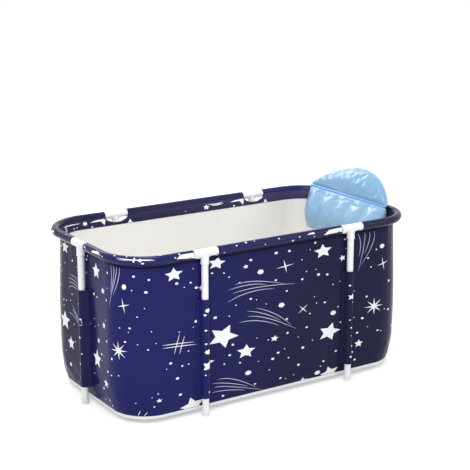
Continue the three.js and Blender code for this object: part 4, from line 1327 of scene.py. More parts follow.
@dataclass
class NightPrint:
    """The white print of stars, dots and streaks, laid on the film as thin figures."""

    rim: Rim
    wall: Wall
    roll: Roll
    hem: Hem
    pocket: Pocket
    lift: float = 0.3
    sink: float = 0.3
    sprinkle: int = 100
    seed: int = 11
    fine: float = 2.4
    front_end: float = 585.0

    def figure(
        self, shell: Shell, mark: Mark, surface: Surface, floor: float = 29.0,
        side: float = math.inf, spacing: float = 7.0,
    ) -> None:
        """Adds one figure: straight edges from tip to notch, in rings that shrink to its middle.

        Args:
            shell: What it is added to.
            mark: The figure.
            surface: Gives points from run, height and distance outwards.
            floor: The lowest height that the print reaches.
            side: The furthest run that it reaches either way.
            spacing: The widest gap between its rings.
        """
        points, slim = mark.kind.value
        steps = 1 if mark.size < 7 else int(math.ceil(3 * 7.0 / spacing))
        corners = np.arange(2 * points) * math.pi / points + math.radians(90 + mark.tilt)
        radii = np.where(np.arange(2 * points) % 2 == 0, 1.0, slim) * mark.size
        tips = np.stack([radii * mark.wide * np.cos(corners), radii * np.sin(corners)], 1)
        rings = max(1, int(mark.size * mark.wide / spacing))
        scale = np.linspace(1, 0, rings + 1)[:-1, None, None]
        grid = edged(tips, steps)[None] * scale
        run = np.clip(mark.run + grid[..., 0], -side, side)
        height = np.maximum(mark.height + grid[..., 1], floor)
        heart = (np.clip(float(mark.run), -side, side), max(mark.height, floor))
        middle = [np.array(value) for value in heart]
        top = surface(run, height, self.lift)
        low = surface(run[0], height[0], -self.sink)
        shell.grid(np.concatenate([low[None], top]))
        shell.fan(top[-1], surface(*middle, self.lift))
        shell.fan(low, surface(*middle, -self.sink - 0.6))

    def blade(self, shell: Shell, corners: Iterable[Pair], surface: Surface) -> None:
        """Adds a flat figure with straight sides, drawn as a fan round its middle."""
        outline = np.asarray(list(corners), float)
        edge, middle = edged(outline, 4), outline.mean(0)
        inner = middle + (edge - middle) * 0.5
        rows = [surface(edge[:, 0], edge[:, 1], -self.sink)]
        rows += [surface(r[:, 0], r[:, 1], self.lift) for r in (edge, inner)]
        shell.grid(np.stack(rows))
        shell.fan(rows[-1], surface(middle[:1], middle[1:], self.lift)[0])
        shell.fan(rows[0], surface(middle[:1], middle[1:], -self.sink - 0.4)[0])

    def streak(self, shell: Shell, line: Streak, surface: Surface, width: float = 1.25) -> None:
        """Adds a strip along a curve through three places, thin at its ends, half width given."""
        p = np.asarray(line, float)
        pull = 2 * p[1] - (p[0] + p[2]) / 2
        t = np.linspace(0, 1, 25)[:, None]
        path = p[0] * (1 - t) ** 2 + 2 * pull * t * (1 - t) + p[2] * t**2
        slope = np.gradient(path, axis=0)
        side = np.stack([-slope[:, 1], slope[:, 0]], 1)
        side /= np.linalg.norm(side, axis=1, keepdims=True)
        half = width * np.sin(math.pi * np.clip(t, 0.015, 0.985)) ** 0.55
        a, b = path + side * half, path - side * half
        rows = [surface(a[:, 0], a[:, 1], -self.sink), surface(a[:, 0], a[:, 1], self.lift)]
        rows.append(surface(path[:, 0], path[:, 1], self.lift))
        rows += [surface(b[:, 0], b[:, 1], self.lift), surface(b[:, 0], b[:, 1], -self.sink)]
        shell.closed(np.stack(rows, 1))

    def dots(self) -> list[Mark]:
        """The placed dots, and a sprinkle of fine ones clear of the figures."""
        placed = [Mark(DOT, a, b, r * 0.82, a % 60) for a, b, r in FRONT_DOTS]
        placed += [Mark(DOT, a, b, r, a % 60, 1.0) for a, b, r in END_DOTS]
        rng = np.random.default_rng(self.seed)
        half = self.rim.length / 2
        blocks = [(m.run, m.height, m.size * m.wide + 6) for m in (*PATTERN, *placed)]
        blocks += [(*point, 15.0) for line in STREAKS for point in line]
        tries, goal = 0, len(placed) + self.sprinkle
        while len(placed) < goal and tries < 9000:
            tries += 1
            run = rng.uniform(self.front_end - half, self.front_end)
            height = rng.uniform(34.0, 524.0)
            size = float(rng.choice([1.7, 2.1, 2.6], p=[0.4, 0.4, 0.2]))
            if any(math.hypot(run - a, height - b) < r + size for a, b, r in blocks):
                continue
            placed.append(Mark(DOT, run, height, size, run % 60, 1.35))
            blocks.append((run, height, 22.0))
        return placed

    def wall_print(self, marks: Iterable[Mark], turn: float) -> Shell:
        """Lays figures on the wall, moved along the rim by a turn."""
        shell = Shell()
        for mark in marks:
            run = mark.run + turn
            if not self.wall.in_channel(run, mark.height, mark.size * mark.wide * 0.9):
                self.figure(shell, replace(mark, run=run), self.wall.point)
        return shell

    def line_print(self, lines: Iterable[Streak], turn: float, width: float) -> Shell:
        """Lays streaks on the wall, moved along the rim by a turn."""
        shell = Shell()
        for line in lines:
            self.streak(shell, tuple((a + turn, b) for a, b in line), self.wall.point, width)
        return shell

    def pocket_print(self, station: Station, marks: Iterable[Mark]) -> Shell:
        """The parts of the wall's figures that fall on a leg's pocket, and a few of its own."""
        shell, leg = Shell(), self.rim.leg_run(station)
        half, low, side = self.rim.length / 2, self.pocket.bottom + 1, self.pocket.radius - 1

        def on_pocket(across: Array, height: Array, outward: float) -> Array:
            """Reads run as the distance across the pocket."""
            return self.pocket.point(leg, across, height, outward)

        for mark in marks:
            across = (mark.run - leg + half / 2) % half - half / 2
            reach = mark.size * mark.wide
            if abs(across) < reach + 12 and 70 < mark.height < 396:
                self.figure(shell, replace(mark, run=across), on_pocket, low, side, self.fine)
        rng = np.random.default_rng(self.seed + int(leg))
        for height in np.arange(86.0, 392.0, 52.0):
            size = float(rng.choice([2.2, 3.0, 3.8]))
            spot = Mark(DOT, rng.uniform(-9, 9), height + rng.uniform(-14, 14), size)
            self.figure(shell, spot, on_pocket, low, side, self.fine)
        return shell

    def roll_print(self, turn: float) -> Shell:
        """Figures on the roll: star arms beside the connectors, crossed dashes and dots."""
        shell = Shell()

        def patch(corners: Iterable[Pair]) -> None:
            """Adds a quadrilateral patch given by run and degrees round the roll."""
            c = np.asarray(list(corners), float)
            s, t = np.linspace(0, 1, 14)[:, None, None], np.linspace(0, 1, 5)[None, :, None]
            grid = (c[0] * (1 - s) + c[1] * s) * (1 - t) + (c[3] * (1 - s) + c[2] * s) * t
            top = self.roll.point(grid[..., 0] + turn, grid[..., 1], self.lift)
            low = self.roll.point(grid[..., 0] + turn, grid[..., 1], -self.sink)
            for face in (top, low):
                shell.grid(face, wrap_cols=False)
            for a, b in ((top[0], low[0]), (top[-1], low[-1])):
                shell.grid(np.stack([a, b]), wrap_cols=False)
            for col in (0, -1):
                shell.grid(np.stack([top[:, col], low[:, col]]), wrap_cols=False)

        def on_roll(run: Array, height: Array, outward: float) -> Array:
            """Reads height as the distance round the roll."""
            return self.roll.point(run, np.degrees(height / self.roll.radius), outward)

        patch([(-408, -4), (-343, -30), (-343, 40), (-394, 40)])
        patch([(168, -18), (248, -14), (248, 44), (192, 36)])
        patch([(98, 22), (132, 16), (126, 44), (112, 38)])
        patch([(-543, -2), (-538, -2), (-536, 56), (-541, 56)])
        patch([(-722, 4), (-666, 14), (-672, 46), (-714, 32)])
        patch([(-1030, 2), (-1004, 8), (-1008, 34), (-1026, 30)])
        for start, end, low, high in ((-596, -478, 9.5, 4.5), (-590, -484, 4.0, 7.5)):
            line = ((start + turn, low), ((start + end) / 2 + turn, 7.0), (end + turn, high))
            self.streak(shell, line, on_roll, 1.3)
        for run, place, size in ((-522, 6, 5.5), (-650, 3, 2.4), (-772, 6, 4.0), (-862, 2, 2.6)):
            mark = Mark(DOT, run + turn, place, size, 0, 1.1)
            self.figure(shell, mark, on_roll, -math.inf, spacing=self.fine)
        rng = np.random.default_rng(self.seed + 5)
        start = self.front_end + 5.0 - self.rim.length / 2
        for run in np.arange(start, self.front_end, 46.0):
            spot = run + turn + rng.uniform(-16, 16)
            near = self.rim.from_leg(np.array(spot)) < self.roll.clear + 8
            if near or spot - turn > 300:
                continue
            size = float(rng.choice([1.8, 2.3, 3.2], p=[0.4, 0.4, 0.2]))
            mark = Mark(DOT, spot, rng.uniform(-10, 28), size)
            self.figure(shell, mark, on_roll, -math.inf, spacing=self.fine)
        return shell

    def band_print(self) -> Shell:
        """Figures on the inner band, most of them near the windows at the back."""
        shell = Shell()
        for turn in (0.0, 2732.2, self.rim.length / 2, 1070.1):
            for outline in BAND_BLADES:
                self.blade(shell, [(a + turn, b) for a, b in outline], self._band)
        for mark in BAND_MARKS:
            self.figure(shell, mark, self._band, 527.0)
        for line in BAND_LINES:
            self.streak(shell, line, self._band, 1.4)
        return shell

    def _band(self, run: Array, height: Array, outward: float) -> Array:
        """The hem band's inner face, kept below the roll."""
        return self.hem.band_point(run, np.minimum(height, 556.0), outward)

    def build(self, shop: Workshop) -> None:
        """Lays the print: the pattern on the front and foot end, and again turned half round."""
        marks = [*PATTERN, *self.dots()]
        for name, turn in (("front", 0.0), ("back", self.rim.length / 2)):
            shop.piece(f"print_stars_{name}", self.wall_print(marks, turn), PRINT, folds=True)
            dashes = self.line_print(DASHES, turn, 1.25)
            shop.piece(f"print_dashes_{name}", dashes, PRINT, folds=True)
            streaks = self.line_print(STREAKS, turn, 1.15)
            shop.piece(f"print_streaks_{name}", streaks, STREAK, folds=True)
            shop.piece(f"print_roll_{name}", self.roll_print(turn), PRINT)
        shop.piece("print_band", self.band_print(), PRINT)
        for station in Station:
            shell = self.pocket_print(station, marks)
            shop.piece(f"print_pocket_{station.value}", shell, PRINT, folds=True)


# Drain


@dataclass
class Drain:
    """The drain through the back wall: threaded body, seal, lobed nut and ribbed cap."""

    place: Triple = (-375.0, 285.0, 60.0)
    bore: float = 10.0
    tube: float = 13.0
    flange: float = 24.0
    reach: float = 17.0

    def body(self) -> Array:
        """The body's profile: a flange with a recess for the strainer, and a threaded tube."""
        turn = np.linspace(0.0, 1.0, 41)
        thread = self.tube - 0.17 * (1 - np.cos(turn * 16 * math.pi))
        tube = np.stack([thread, 0.8 + turn * (self.reach - 1.6)], 1)
        head = [(self.bore, -10.7), (14.0, -10.7), (14.0, -12.2), (self.flange - 1.2, -12.2)]
        head += [(self.flange, -11.2), (self.flange, -9.2), (self.tube, -9.2)]
        tail = [(self.tube - 0.6, self.reach), (self.bore, self.reach)]
        return np.concatenate([np.array(head), tube, np.array(tail)])

    def build(self, shop: Workshop) -> None:
        """Makes the turned pieces."""
        spindle, base = Spindle(self.place, (0.0, 1.0, 0.0)), Body.BASE.value
        seal = rounded([(13.4, -8.9), (22.4, -8.9), (22.4, -7.4), (13.4, -7.4)], 0.4)
        nut = rounded([(13.4, 0.3), (20.0, 0.3), (20.0, 6.3), (13.4, 6.3)], 0.9)
        for name, finish, node, rings in (
            ("drain_fitting", DRAIN, "drain_body", spindle.turn(self.body(), 56)),
            ("drain_gasket", SEAL, "drain_seal", spindle.turn(seal, 56)),
            ("drain_ring_nut", DRAIN, "drain_nut", spindle.turn(nut, 96, 8, 1.2)),
        ):
            shop.piece(name, Shell().grid(rings, wrap_rows=True), finish, base, [node])
        lid = [(0, 20.3), (9, 20.3), (9.6, 19.8), (11.4, 19.8), (12, 20.3), (15.2, 20.3)]
        lid += [(16.3, 19.9), (16.8, 18.8), (16.8, 7.2), (16.3, 6.6), (13.4, 6.6)]
        lid += [(13.4, 17.3), (0, 17.3)]
        cap = Shell().grid(spindle.turn(lid, 120, 12, 0.7))
        shop.piece("drain_screw_cap", cap, DRAIN, Body.DRAIN_CAP.value, ["drain_cap"])


# Pillow


@dataclass(frozen=True)
class Inflation:
    """Air that fills a welded lobe: its pressure, the film's slack, and how far it may move."""

    voxel: float = 4.5
    pressure: float = 4.0
    slack: float = 0.018
    frames: int = 20
    cap: float = 6.0
    easing: int = 9

    def blow(self, shell: Shell, name: str, held: Callable[[Array], Array]) -> bpy.types.Object:
        """Fills a lobe by a cloth simulation: slack film, pressure, and no more than the cap.

        Args:
            shell: The lobe, a little slimmer than it ends.
            name: The piece's name.
            held: Tells from points in millimetres which of them the welds hold.

        Returns:
            The piece, with one subdivision.
        """
        lobe = shell.build(name, 80.0)
        even = lobe.modifiers.new("even film", "REMESH")
        even.mode, even.voxel_size = "VOXEL", self.voxel * MM
        self._settle(lobe)
        start = self._points(lobe.data)
        group = lobe.vertex_groups.new(name="welds")
        group.add(np.flatnonzero(held(start / MM)).tolist(), 1.0, "REPLACE")
        cloth = lobe.modifiers.new("film", "CLOTH")
        film = cloth.settings
        film.quality, film.mass = 6, 0.2
        film.tension_stiffness = film.compression_stiffness = film.shear_stiffness = 12.0
        film.bending_stiffness = 1.5
        film.use_pressure, film.uniform_pressure_force = True, self.pressure
        film.shrink_min = film.shrink_max = -self.slack
        film.vertex_group_mass = group.name
        film.effector_weights.gravity = 0.0
        cloth.collision_settings.use_collision = False
        cloth.point_cache.frame_start, cloth.point_cache.frame_end = 1, self.frames
        for frame in range(1, self.frames + 1):
            bpy.context.scene.frame_set(frame)
        self._settle(lobe)
        shift = self._points(lobe.data) - start
        far = np.linalg.norm(shift, axis=1, keepdims=True)
        shift *= np.minimum(1.0, self.cap * MM / np.maximum(far, 1e-9))
        lobe.data.vertices.foreach_set("co", (start + shift).ravel())
        lobe.data.update()
        lobe.data.shade_smooth()
        bpy.context.scene.frame_set(1)
        lobe.vertex_groups.clear()
        ease = lobe.modifiers.new("eased film", "SMOOTH")
        ease.factor, ease.iterations = 0.5, self.easing
        smooth = lobe.modifiers.new("smooth film", "SUBSURF")
        smooth.levels = smooth.render_levels = 1
        LOG.info("%s: moved by %.1f mm at most", name, float(far.max()) / MM)
        return lobe

    @staticmethod
    def _points(mesh: bpy.types.Mesh) -> Array:
        """The mesh's points as an array."""
        flat = np.empty(len(mesh.vertices) * 3)
        mesh.vertices.foreach_get("co", flat)
        return flat.reshape(-1, 3)

    @staticmethod
    def _settle(lobe: bpy.types.Object) -> None:
        """Takes the evaluated shape as the object's own and drops its modifiers."""
        graph = bpy.context.evaluated_depsgraph_get()
        shaped = bpy.data.meshes.new_from_object(lobe.evaluated_get(graph))
        lobe.modifiers.clear()
        lobe.data = shaped


@dataclass
class BathPillow:
    """The inflatable pillow: a leaning head lobe and a ribbed neck lobe on a welded crease."""

    half_width: float = 232.0
    crease_x: float = 520.0
    crease_z: float = 588.0
    head_height: float = 117.0
    lean: float = 41.0
    head_depth: float = 21.5
    neck_drop: float = 153.0
    neck_forward: float = 40.0
    front_depth: float = 39.0
    back_depth: float = 50.0
    ribs: int = 5
    valley: float = 0.6
    slim: float = 0.86
    taper: float = 0.12
    draw: float = 0.09
    border: float = 6.0
    start: float = 2.3
    weld: float = 1.2
    cups: tuple[Triple, ...] = ((30.0, 540.5, 22.25), (104.0, 542.7, 20.7))
    cup_height: float = 498.0
    valve_across: float = 110.0
    valve_share: float = 0.45

    @property
    def rib(self) -> float:
        """The distance from one weld between ribs to the next."""
        return 2 * self.half_width / self.ribs

    @property
    def up(self) -> Array:
        """The direction up the head."""
        lean = math.radians(self.lean)
        return np.array([math.sin(lean), 0.0, math.cos(lean)])

    @property
    def back(self) -> Array:
        """The direction out of the head's back."""
        lean = math.radians(self.lean)
        return np.array([math.cos(lean), 0.0, -math.sin(lean)])

    def reach(self, across: Array) -> Array:
        """The head's height across the tub: an arch, 1 less the squared share of its half width."""
        return self.head_height * np.clip(1 - (across / self.half_width) ** 2, 0, 1) ** 0.88

    def on_crease(self, across: Array) -> Array:
        """Points of the crease's line by their places across."""
        return across[..., None] * [0.0, 1.0, 0.0] + [self.crease_x, 0.0, self.crease_z]

    def head_point(self, across: Array, share: Array, depth: Array) -> Array:
        """A point of the head, by its place across, its share of the height, and its depth."""
        rise = (self.start + share * self.reach(across))[..., None] * self.up
        return self.on_crease(across) + rise + np.asarray(depth)[..., None] * self.back

    def head(self) -> Shell:
        """The head lobe: a lens in section, puckered where it meets its weld."""
        across = (self.half_width - 3.0 - self.border) * crowded(121)[:, None]
        share = (1 + crowded(34))[None, :] / 2
        side = np.sqrt(np.clip(1 - (across / self.half_width) ** 2, 0, 1))
        lens = (4 * share * (1 - share)) ** 0.72
        rim = np.exp(-(((1 - share) / 0.2) ** 2)) + 0.8 * np.exp(-((share / 0.12) ** 2))
        pucker = np.cos(across / 5.2 + 1.3 * np.sin(across / 31.0)) + 0.6 * np.cos(across / 8.3 + 2)
        amount = 0.03
        swell = side * lens * (1 + amount * rim * pucker)
        depth = self.weld + self.slim * self.head_depth * swell
        a, s = np.broadcast_arrays(across, share * (1 - self.border / self.head_height))
        front = self.head_point(a, s, -depth)
        rear = self.head_point(a, s, depth)[:, ::-1]
        return Shell().closed(np.concatenate([front, rear], 1))

    def web(self, along: Array, back: Array, near: float) -> Array:
        """Rows of a thin flat strip of film that runs from the crease into a lobe."""
        across = np.linspace(12.0 - self.half_width, self.half_width - 12.0, 61)
        edges = ((near, 0.5), (10.0, 0.5), (10.0, -0.5), (near, -0.5))
        return np.stack([self.on_crease(across) + a * along + b * back for a, b in edges], 1)

    def head_flange(self) -> Shell:
        """The flat welds of the head: a waved strip along the arch, and a web at the crease."""
        across = (self.half_width - 3.0) * crowded(181)
        outline = self.head_point(across, np.ones_like(across), np.zeros_like(across))
        flat = np.stack([across, self.reach(across)], 1)
        slope = np.gradient(flat, axis=0)
        out = np.stack([-slope[:, 1], slope[:, 0]], 1)
        out /= np.linalg.norm(out, axis=1, keepdims=True) + 1e-9
        wave = 0.8 * np.sin(across / 9.0) * np.sin(across / 41.0)
        rows = []
        for reach, thick, share in ((-11.0, 1.6, 0.0), (-5.0, 0.9, 0.3), (1.5, 0.5, 1.0)):
            spot = outline + out[:, :1] * reach * [0, 1, 0] + out[:, 1:] * reach * self.up
            rows.append((spot + (share * wave)[:, None] * self.back, thick))
        front = [spot - thick * self.back for spot, thick in rows]
        rear = [spot + thick * self.back for spot, thick in rows[::-1]]
        shell = Shell().closed(np.stack([*front, *rear], 1))
        return shell.closed(self.web(self.up, self.back, 1.0))

    def head_held(self, points: Array) -> Array:
        """Which points of the head its welds hold: near the arch, the crease and the sides."""
        rise = (points - [self.crease_x, 0.0, self.crease_z]) @ self.up
        ahead = self.reach(points[:, 1]) + self.start - rise
        side = np.abs(points[:, 1]) > self.half_width - self.border - 10.0
        return (rise < 7.0) | (ahead < self.border + 5.0) | side

    @property
    def neck_axes(self) -> tuple[Array, Array, float]:
        """The directions down the neck and out of its back, and its length."""
        length = math.hypot(self.neck_drop, self.neck_forward)
        down = np.array([-self.neck_forward, 0.0, -self.neck_drop]) / length
        return down, np.array([self.neck_drop, 0.0, -self.neck_forward]) / length, length

    def ribbing(self, across: Array) -> Array:
        """Thickness across the neck: round ribs between narrow welds, and ends that close in."""
        phase = np.abs(np.sin(math.pi * (across + self.half_width) / self.rib))
        crown = np.sqrt(np.clip(1 - (1 - phase) ** 2.6, 0, 1))
        inside = np.clip((self.half_width - np.abs(across)) / (self.rib / 2), 0, 1)
        closing = 0.2 + 0.8 * np.sqrt(1 - (1 - inside) ** 2)
        return closing * (self.valley + (1 - self.valley) * crown)

    def drawn_in(self, across: Array) -> Array:
        """How far a line down the neck draws in to the middle: a share of its place, and a sine."""
        u = across / self.half_width
        return self.half_width * (self.taper * u + self.draw * np.sin(math.pi * u))

    def neck_point(self, across: Array, share: Array, depth: Array) -> Array:
        """A point of the neck, by its place across, its share of the way down, and its depth."""
        down, back, length = self.neck_axes
        run = self.start + share * (length - self.start)
        base = self.on_crease(across - share * self.drawn_in(across))
        return base + run[..., None] * down + np.asarray(depth)[..., None] * back

    def neck(self) -> Shell:
        """The neck lobe: a lens down its section times the ribbing, with small cross folds."""
        across = np.linspace(-self.half_width, self.half_width, 201)[:, None]
        share = (1 + crowded(40))[None, :] / 2
        swell = self.ribbing(across)
        a, s = np.broadcast_arrays(across, share)
        fore = self.weld + self.slim * self.front_depth * swell * self.bow(share)
        lens = np.sin(math.pi * share**0.9) ** 0.8
        aft = self.weld + self.slim * self.back_depth * swell * lens
        front, rear = self.neck_point(a, s, -fore), self.neck_point(a, s, aft)[:, ::-1]
        return Shell().closed(np.concatenate([front, rear], 1))

    @staticmethod
    def bow(share: Array) -> Array:
        """The front's bulge down the neck: a sine whose crown lies below the middle."""
        return np.sin(math.pi * np.clip(share, 0, 1) ** 1.35)

    def neck_held(self, points: Array) -> Array:
        """Which points of the neck are held: by its welds, the ribs' valleys and the cups."""
        down, _, length = self.neck_axes
        run = (points - [self.crease_x, 0.0, self.crease_z]) @ down
        across = points[:, 1]
        for _ in range(6):
            across = points[:, 1] + run / length * self.drawn_in(across)
        turn = (across + self.half_width) / self.rib
        valley = np.abs(turn - np.round(turn)) * self.rib < 2.6
        held = valley | (run < 7.0) | (run > length - 9.0)
        for across, seat, _ in self.cups:
            near = np.hypot(np.abs(points[:, 1]) - across, points[:, 2] - self.cup_height) < 12.0
            held |= near & (points[:, 0] > seat - 25.0)
        return held

    def rib_welds(self) -> Shell:
        """The welds between the ribs, and the one along the foot of the neck."""
        shell, share = Shell(), np.linspace(0.015, 0.97, 46)
        for number in range(1, self.ribs):
            middle = -self.half_width + number * self.rib
            valley = float(self.ribbing(np.array(middle)))
            depth = self.weld + self.slim * self.front_depth * valley * self.bow(share)
            loops = []
            for aside, lift in ((-2.2, -1.2), (-1.4, 0.35), (1.4, 0.35), (2.2, -1.2)):
                line = np.full_like(share, middle + aside)
                loops.append(self.neck_point(line, share, -(depth + lift)))
            shell.closed(np.stack(loops, 1))
        across = np.linspace(-self.half_width + 6, self.half_width - 6, 120)
        wave = 0.7 * np.sin(across / 8.0) * np.sin(across / 37.0)
        loops = []
        for end, side in ((0.93, -1.0), (1.02, -0.4), (1.02, 0.4), (0.93, 1.0)):
            thick = 4.0 if end < 1 else 0.8
            loops.append(self.neck_point(across, np.full_like(across, end), side * thick + wave))
        return shell.closed(np.stack(loops, 1))

    def cup(self, seat: float, reach: float, across: float) -> Shell:
        """A suction cup: a stem, and a bell that opens on the liner by a quarter oval."""
        turn = np.linspace(0, math.pi / 2, 9)
        top = reach - 6.0
        outer = np.stack([4 + 10 * np.sin(turn), top + 4.4 * (1 - np.cos(turn))], 1)
        inner = np.stack([13.4 * np.cos(turn), reach - 4.5 * np.sin(turn)], 1)
        stem = [(0.0, -11.0), (3.7, -11.0), (4.0, -10.7)]
        stem += [(4.0, top * 0.5), (3.3, top * 0.6), (3.6, top * 0.8)]
        lip = [(14.2, reach - 0.9), (14.0, reach)]
        profile = np.concatenate([stem, outer, lip, inner])
        spindle = Spindle((seat, across, self.cup_height), (1.0, 0.0, 0.0))
        return Shell().grid(spindle.turn(profile, 44))

    def crease(self) -> Shell:
        """The weld between the lobes: a cord of film with a web into the neck, coloured a deeper
        blue as painted shade.
        """
        half = self.half_width - 4.0
        across = np.linspace(-half, half, 121)[:, None]
        turn = np.linspace(0, 2 * math.pi, 16, endpoint=False)[None, :]
        thin = 1.7 + 0.2 * np.sin(across / 6.0)
        x = self.crease_x + thin * np.cos(turn)
        z = self.crease_z + thin * np.sin(turn)
        shell = Shell().closed(np.stack([x, np.broadcast_to(across, x.shape), z], -1))
        return shell.closed(self.web(*self.neck_axes[:2], 0.5))

    def valve(self) -> tuple[Shell, Shell]:
        """The valve's seat with its stem, and its cap with a pull tab."""
        across, share = np.array(self.valve_across), np.array(self.valve_share)
        arch = 1 - (across / self.half_width) ** 2
        lens = (4 * share * (1 - share)) ** 0.75
        place = self.head_point(across, share, self.head_depth * np.sqrt(arch) * lens - 0.3)
        spindle = Spindle(tuple(place), tuple(self.back))
        stem = [(0, 0), (9.6, 0), (10, 0.4), (10, 1), (9.4, 1.6), (6.6, 1.8), (6, 2.4), (6, 6.1)]
        stem += [(5.6, 6.5), (0, 6.5)]
        lid = [(0, 6.8), (6.5, 6.8), (7, 7.3), (7, 9.2), (6.5, 9.8), (3.4, 9.8), (3, 9.4)]
        seat = Shell().grid(spindle.turn(stem, 40))
        cap = Shell().grid(spindle.turn([*lid, (0, 9.4)], 40))
        along, *_ = spindle.frame()
        y_axis = np.array([0.0, 1.0, 0.0])
        width_axis = np.cross(along, y_axis)
        shape = np.linspace(0, 1, 14)[:, None]
        tip = np.sqrt(np.clip(1 - ((shape - 0.7) / 0.3) ** 2, 0.02, 1))
        width = np.where(shape < 0.7, 3.1, 3.1 * tip)
        middle, loops = place + (5.5 + shape * 7.5) * y_axis, []
        for w, h in ((-1, 7.3), (1, 7.3), (1, 9.0), (-1, 9.0)):
            loops.append(middle + w * width * width_axis + h * along)
        return seat, cap.closed(np.stack(loops, 1))

    def build(self, shop: Workshop) -> None:
        """Makes the lobes, the welds, the valve and the suction cups."""
        head, neck = Body.PILLOW_HEAD.value, Body.PILLOW.value
        lobe = Inflation(cap=5.0).blow(self.head(), "head_lobe", self.head_held)
        shop.dress(lobe, PILLOW_HEAD, head, ["pillow_head"])
        shop.piece("head_weld", self.head_flange(), PILLOW_WELD, head)
        lobe = Inflation(cap=7.0).blow(self.neck(), "neck_lobe", self.neck_held)
        shop.dress(lobe, PILLOW, neck, ["pillow_neck"])
        shop.piece("rib_welds", self.rib_welds(), PILLOW_WELD, neck)
        shop.piece("lobe_crease", self.crease(), PILLOW_CREASE_SHADE, neck, ["pillow_crease"])
        seat, cap = self.valve()
        shop.piece("valve_seat", seat, VALVE, head, ["pillow_valve"])
        shop.piece("valve_lid", cap, VALVE, Body.VALVE_CAP.value, ["pillow_valve_cap"])
        for number, (across, back, reach) in enumerate(self.cups, 1):
            for side, sign in (("left", 1.0), ("right", -1.0)):
                name = f"suction_cup_{side}_{number}"
                cup = self.cup(back, reach, sign * across)
                shop.piece(f"cup_{side}_{number}", cup, CUP, neck, [name])


# Studio


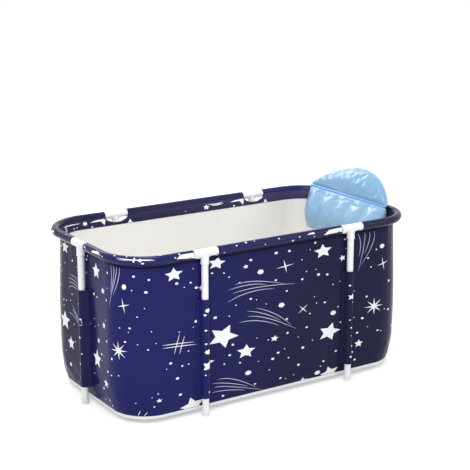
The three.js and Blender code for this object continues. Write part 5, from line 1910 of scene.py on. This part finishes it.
@dataclass(frozen=True)
class Studio:
    """The pale floor, the soft lights and the camera at the photograph's angle."""

    camera_place: Triple = (-2.26168, -3.52819, 1.60431)
    yaw: float = -32.8858
    pitch: float = 14.6604
    lens: float = 93.6455
    sky: float = 0.66
    floor_glow: float = 0.42

    def camera(self) -> None:
        """Sets the camera by its heading and its tilt down."""
        yaw, pitch = math.radians(self.yaw), math.radians(self.pitch)
        right = Vector((math.cos(yaw), math.sin(yaw), 0.0))
        level = math.cos(pitch)
        ahead = Vector((-math.sin(yaw) * level, math.cos(yaw) * level, -math.sin(pitch)))
        turn = Matrix((right, right.cross(ahead), -ahead)).transposed().to_4x4()
        data = bpy.data.cameras.new("camera")
        data.lens, data.sensor_width = self.lens, 36.0
        data.clip_start, data.clip_end = 0.05, 60.0
        made = linked("camera", data)
        made.matrix_world = Matrix.Translation(Vector(self.camera_place)) @ turn
        bpy.context.scene.camera = made

    def lamp(
        self, name: str, place: Triple, size: Pair, power: float,
        aim: Triple = (0.0, 0.0, 0.35),
    ) -> None:
        """Adds a soft rectangular light in metres and watts, aimed at a point."""
        data = bpy.data.lights.new(name, "AREA")
        data.shape, data.size, data.size_y, data.energy = "RECTANGLE", *size, power
        made = linked(name, data)
        made.location = place
        made.rotation_euler = (Vector(aim) - Vector(place)).to_track_quat("-Z", "Y").to_euler()

    @staticmethod
    def seen(tree: bpy.types.NodeTree) -> bpy.types.NodeSocket:
        """1 for a ray of the camera, a reflection or through something clear, otherwise 0."""
        path = tree.nodes.new("ShaderNodeLightPath")
        total = path.outputs["Is Camera Ray"]
        for kind in ("Is Glossy Ray", "Is Transmission Ray"):
            add = tree.nodes.new("ShaderNodeMath")
            add.operation, add.use_clamp = "ADD", True
            tree.links.new(total, add.inputs[0])
            tree.links.new(path.outputs[kind], add.inputs[1])
            total = add.outputs[0]
        return total

    def by_ray(
        self, tree: bpy.types.NodeTree, plain: bpy.types.Node, shown: bpy.types.Node,
        out: bpy.types.Node,
    ) -> None:
        """Gives out one shader where it lights other things, and another where it is seen."""
        mix = tree.nodes.new("ShaderNodeMixShader")
        sources = (self.seen(tree), plain.outputs[0], shown.outputs[0])
        for socket, source in zip(mix.inputs, sources):
            tree.links.new(source, socket)
        tree.links.new(mix.outputs[0], out.inputs["Surface"])

    def world(self) -> None:
        """A sky that lights softly and shows white to the camera and in reflections."""
        world = bpy.data.worlds.new("studio")
        bpy.context.scene.world = world
        world.use_nodes = True
        tree = world.node_tree
        tree.nodes.clear()
        out = tree.nodes.new("ShaderNodeOutputWorld")
        soft, white = (tree.nodes.new("ShaderNodeBackground") for _ in range(2))
        soft.inputs["Color"].default_value = (0.99, 0.99, 1.0, 1.0)
        soft.inputs["Strength"].default_value = self.sky
        white.inputs["Color"].default_value = (1.0, 1.0, 1.0, 1.0)
        self.by_ray(tree, soft, white, out)

    def floor(self) -> None:
        """A wide pale floor that keeps the shadow and fades into the white."""
        mesh = bpy.data.meshes.new("floor")
        wide, level = 14.0, -0.0005
        plan = ((-wide, -wide), (wide, -wide), (wide, wide), (-wide, wide))
        mesh.from_pydata([(x, y, level) for x, y in plan], [], [(0, 1, 2, 3)])
        material = bpy.data.materials.new("pale floor")
        material.use_nodes = True
        tree = material.node_tree
        shader = tree.nodes["Principled BSDF"]
        grey = (0.93, 0.93, 0.93, 1.0)
        for key, value in (("Base Color", grey), ("Roughness", 0.7), ("Specular IOR Level", 0.2)):
            shader.inputs[key].default_value = value
        glow = tree.nodes.new("ShaderNodeEmission")
        glow.inputs["Strength"].default_value = self.floor_glow
        add = tree.nodes.new("ShaderNodeAddShader")
        tree.links.new(shader.outputs[0], add.inputs[0])
        tree.links.new(glow.outputs[0], add.inputs[1])
        self.by_ray(tree, shader, add, tree.nodes["Material Output"])
        mesh.materials.append(material)
        linked("floor", mesh)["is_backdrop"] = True

    def build(self) -> None:
        """Sets up everything round the tub."""
        bpy.context.scene.view_settings.view_transform = "Standard"
        self.camera()
        self.world()
        self.floor()
        self.lamp("key", (-2.4, -2.6, 3.0), (2.6, 0.6), 60.0)
        self.lamp("fill", (2.8, -3.0, 2.2), (2.0, 0.8), 18.0)
        self.lamp("back", (0.6, 3.0, 2.6), (2.8, 0.8), 24.0)
        self.lamp("overhead", (-0.2, 0.0, 2.4), (1.4, 0.5), 17.0)


class Bathtub:
    """The whole tub, made sub-assembly by sub-assembly."""

    def __init__(self, nodes: dict[str, bpy.types.Object]) -> None:
        """Sets out the lines that the sub-assemblies share, and takes the frame's CAD nodes."""
        self.shop = Workshop(nodes)
        self.rim = Rim()
        self.wall = Wall(self.rim)

    def build(self) -> None:
        """Makes every piece and gives the CAD nodes that stay in view their finish."""
        roll, hem = Roll(self.rim), Hem(self.rim, self.wall)
        pocket = Pocket(self.rim, self.wall)
        PipeFrame(self.rim).build(self.shop)
        roll.build(self.shop)
        hem.build(self.shop)
        pocket.build(self.shop)
        Basin(self.rim, self.wall).build(self.shop)
        NightPrint(self.rim, self.wall, roll, hem, pocket).build(self.shop)
        Drain().build(self.shop)
        BathPillow().build(self.shop)
        self.carry_over()

    def carry_over(self) -> None:
        """Repaints the CAD nodes that are right as they are."""
        for side in ("front", "back"):
            self.shop.repaint(f"rail_{side}", PIPE)
            for end in ("left", "right"):
                self.shop.repaint(f"rail_corner_{side}_{end}", PIPE)
        self.shop.repaint("drain_strainer", DRAIN)


def corners(box: tuple[Vector, Vector]) -> list[list[float]]:
    """A box as plain lists of numbers."""
    return [list(box[0]), list(box[1])]


def main() -> None:
    """Loads the frame, builds the looks and works out both boxes."""
    logging.basicConfig(level=logging.INFO, format="%(message)s")
    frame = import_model()
    cad = corners(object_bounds())
    Studio().build()
    Bathtub(frame["nodes"]).build()
    {"cad": cad, "visual": corners(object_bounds())}


if __name__ == "__main__":
    main()
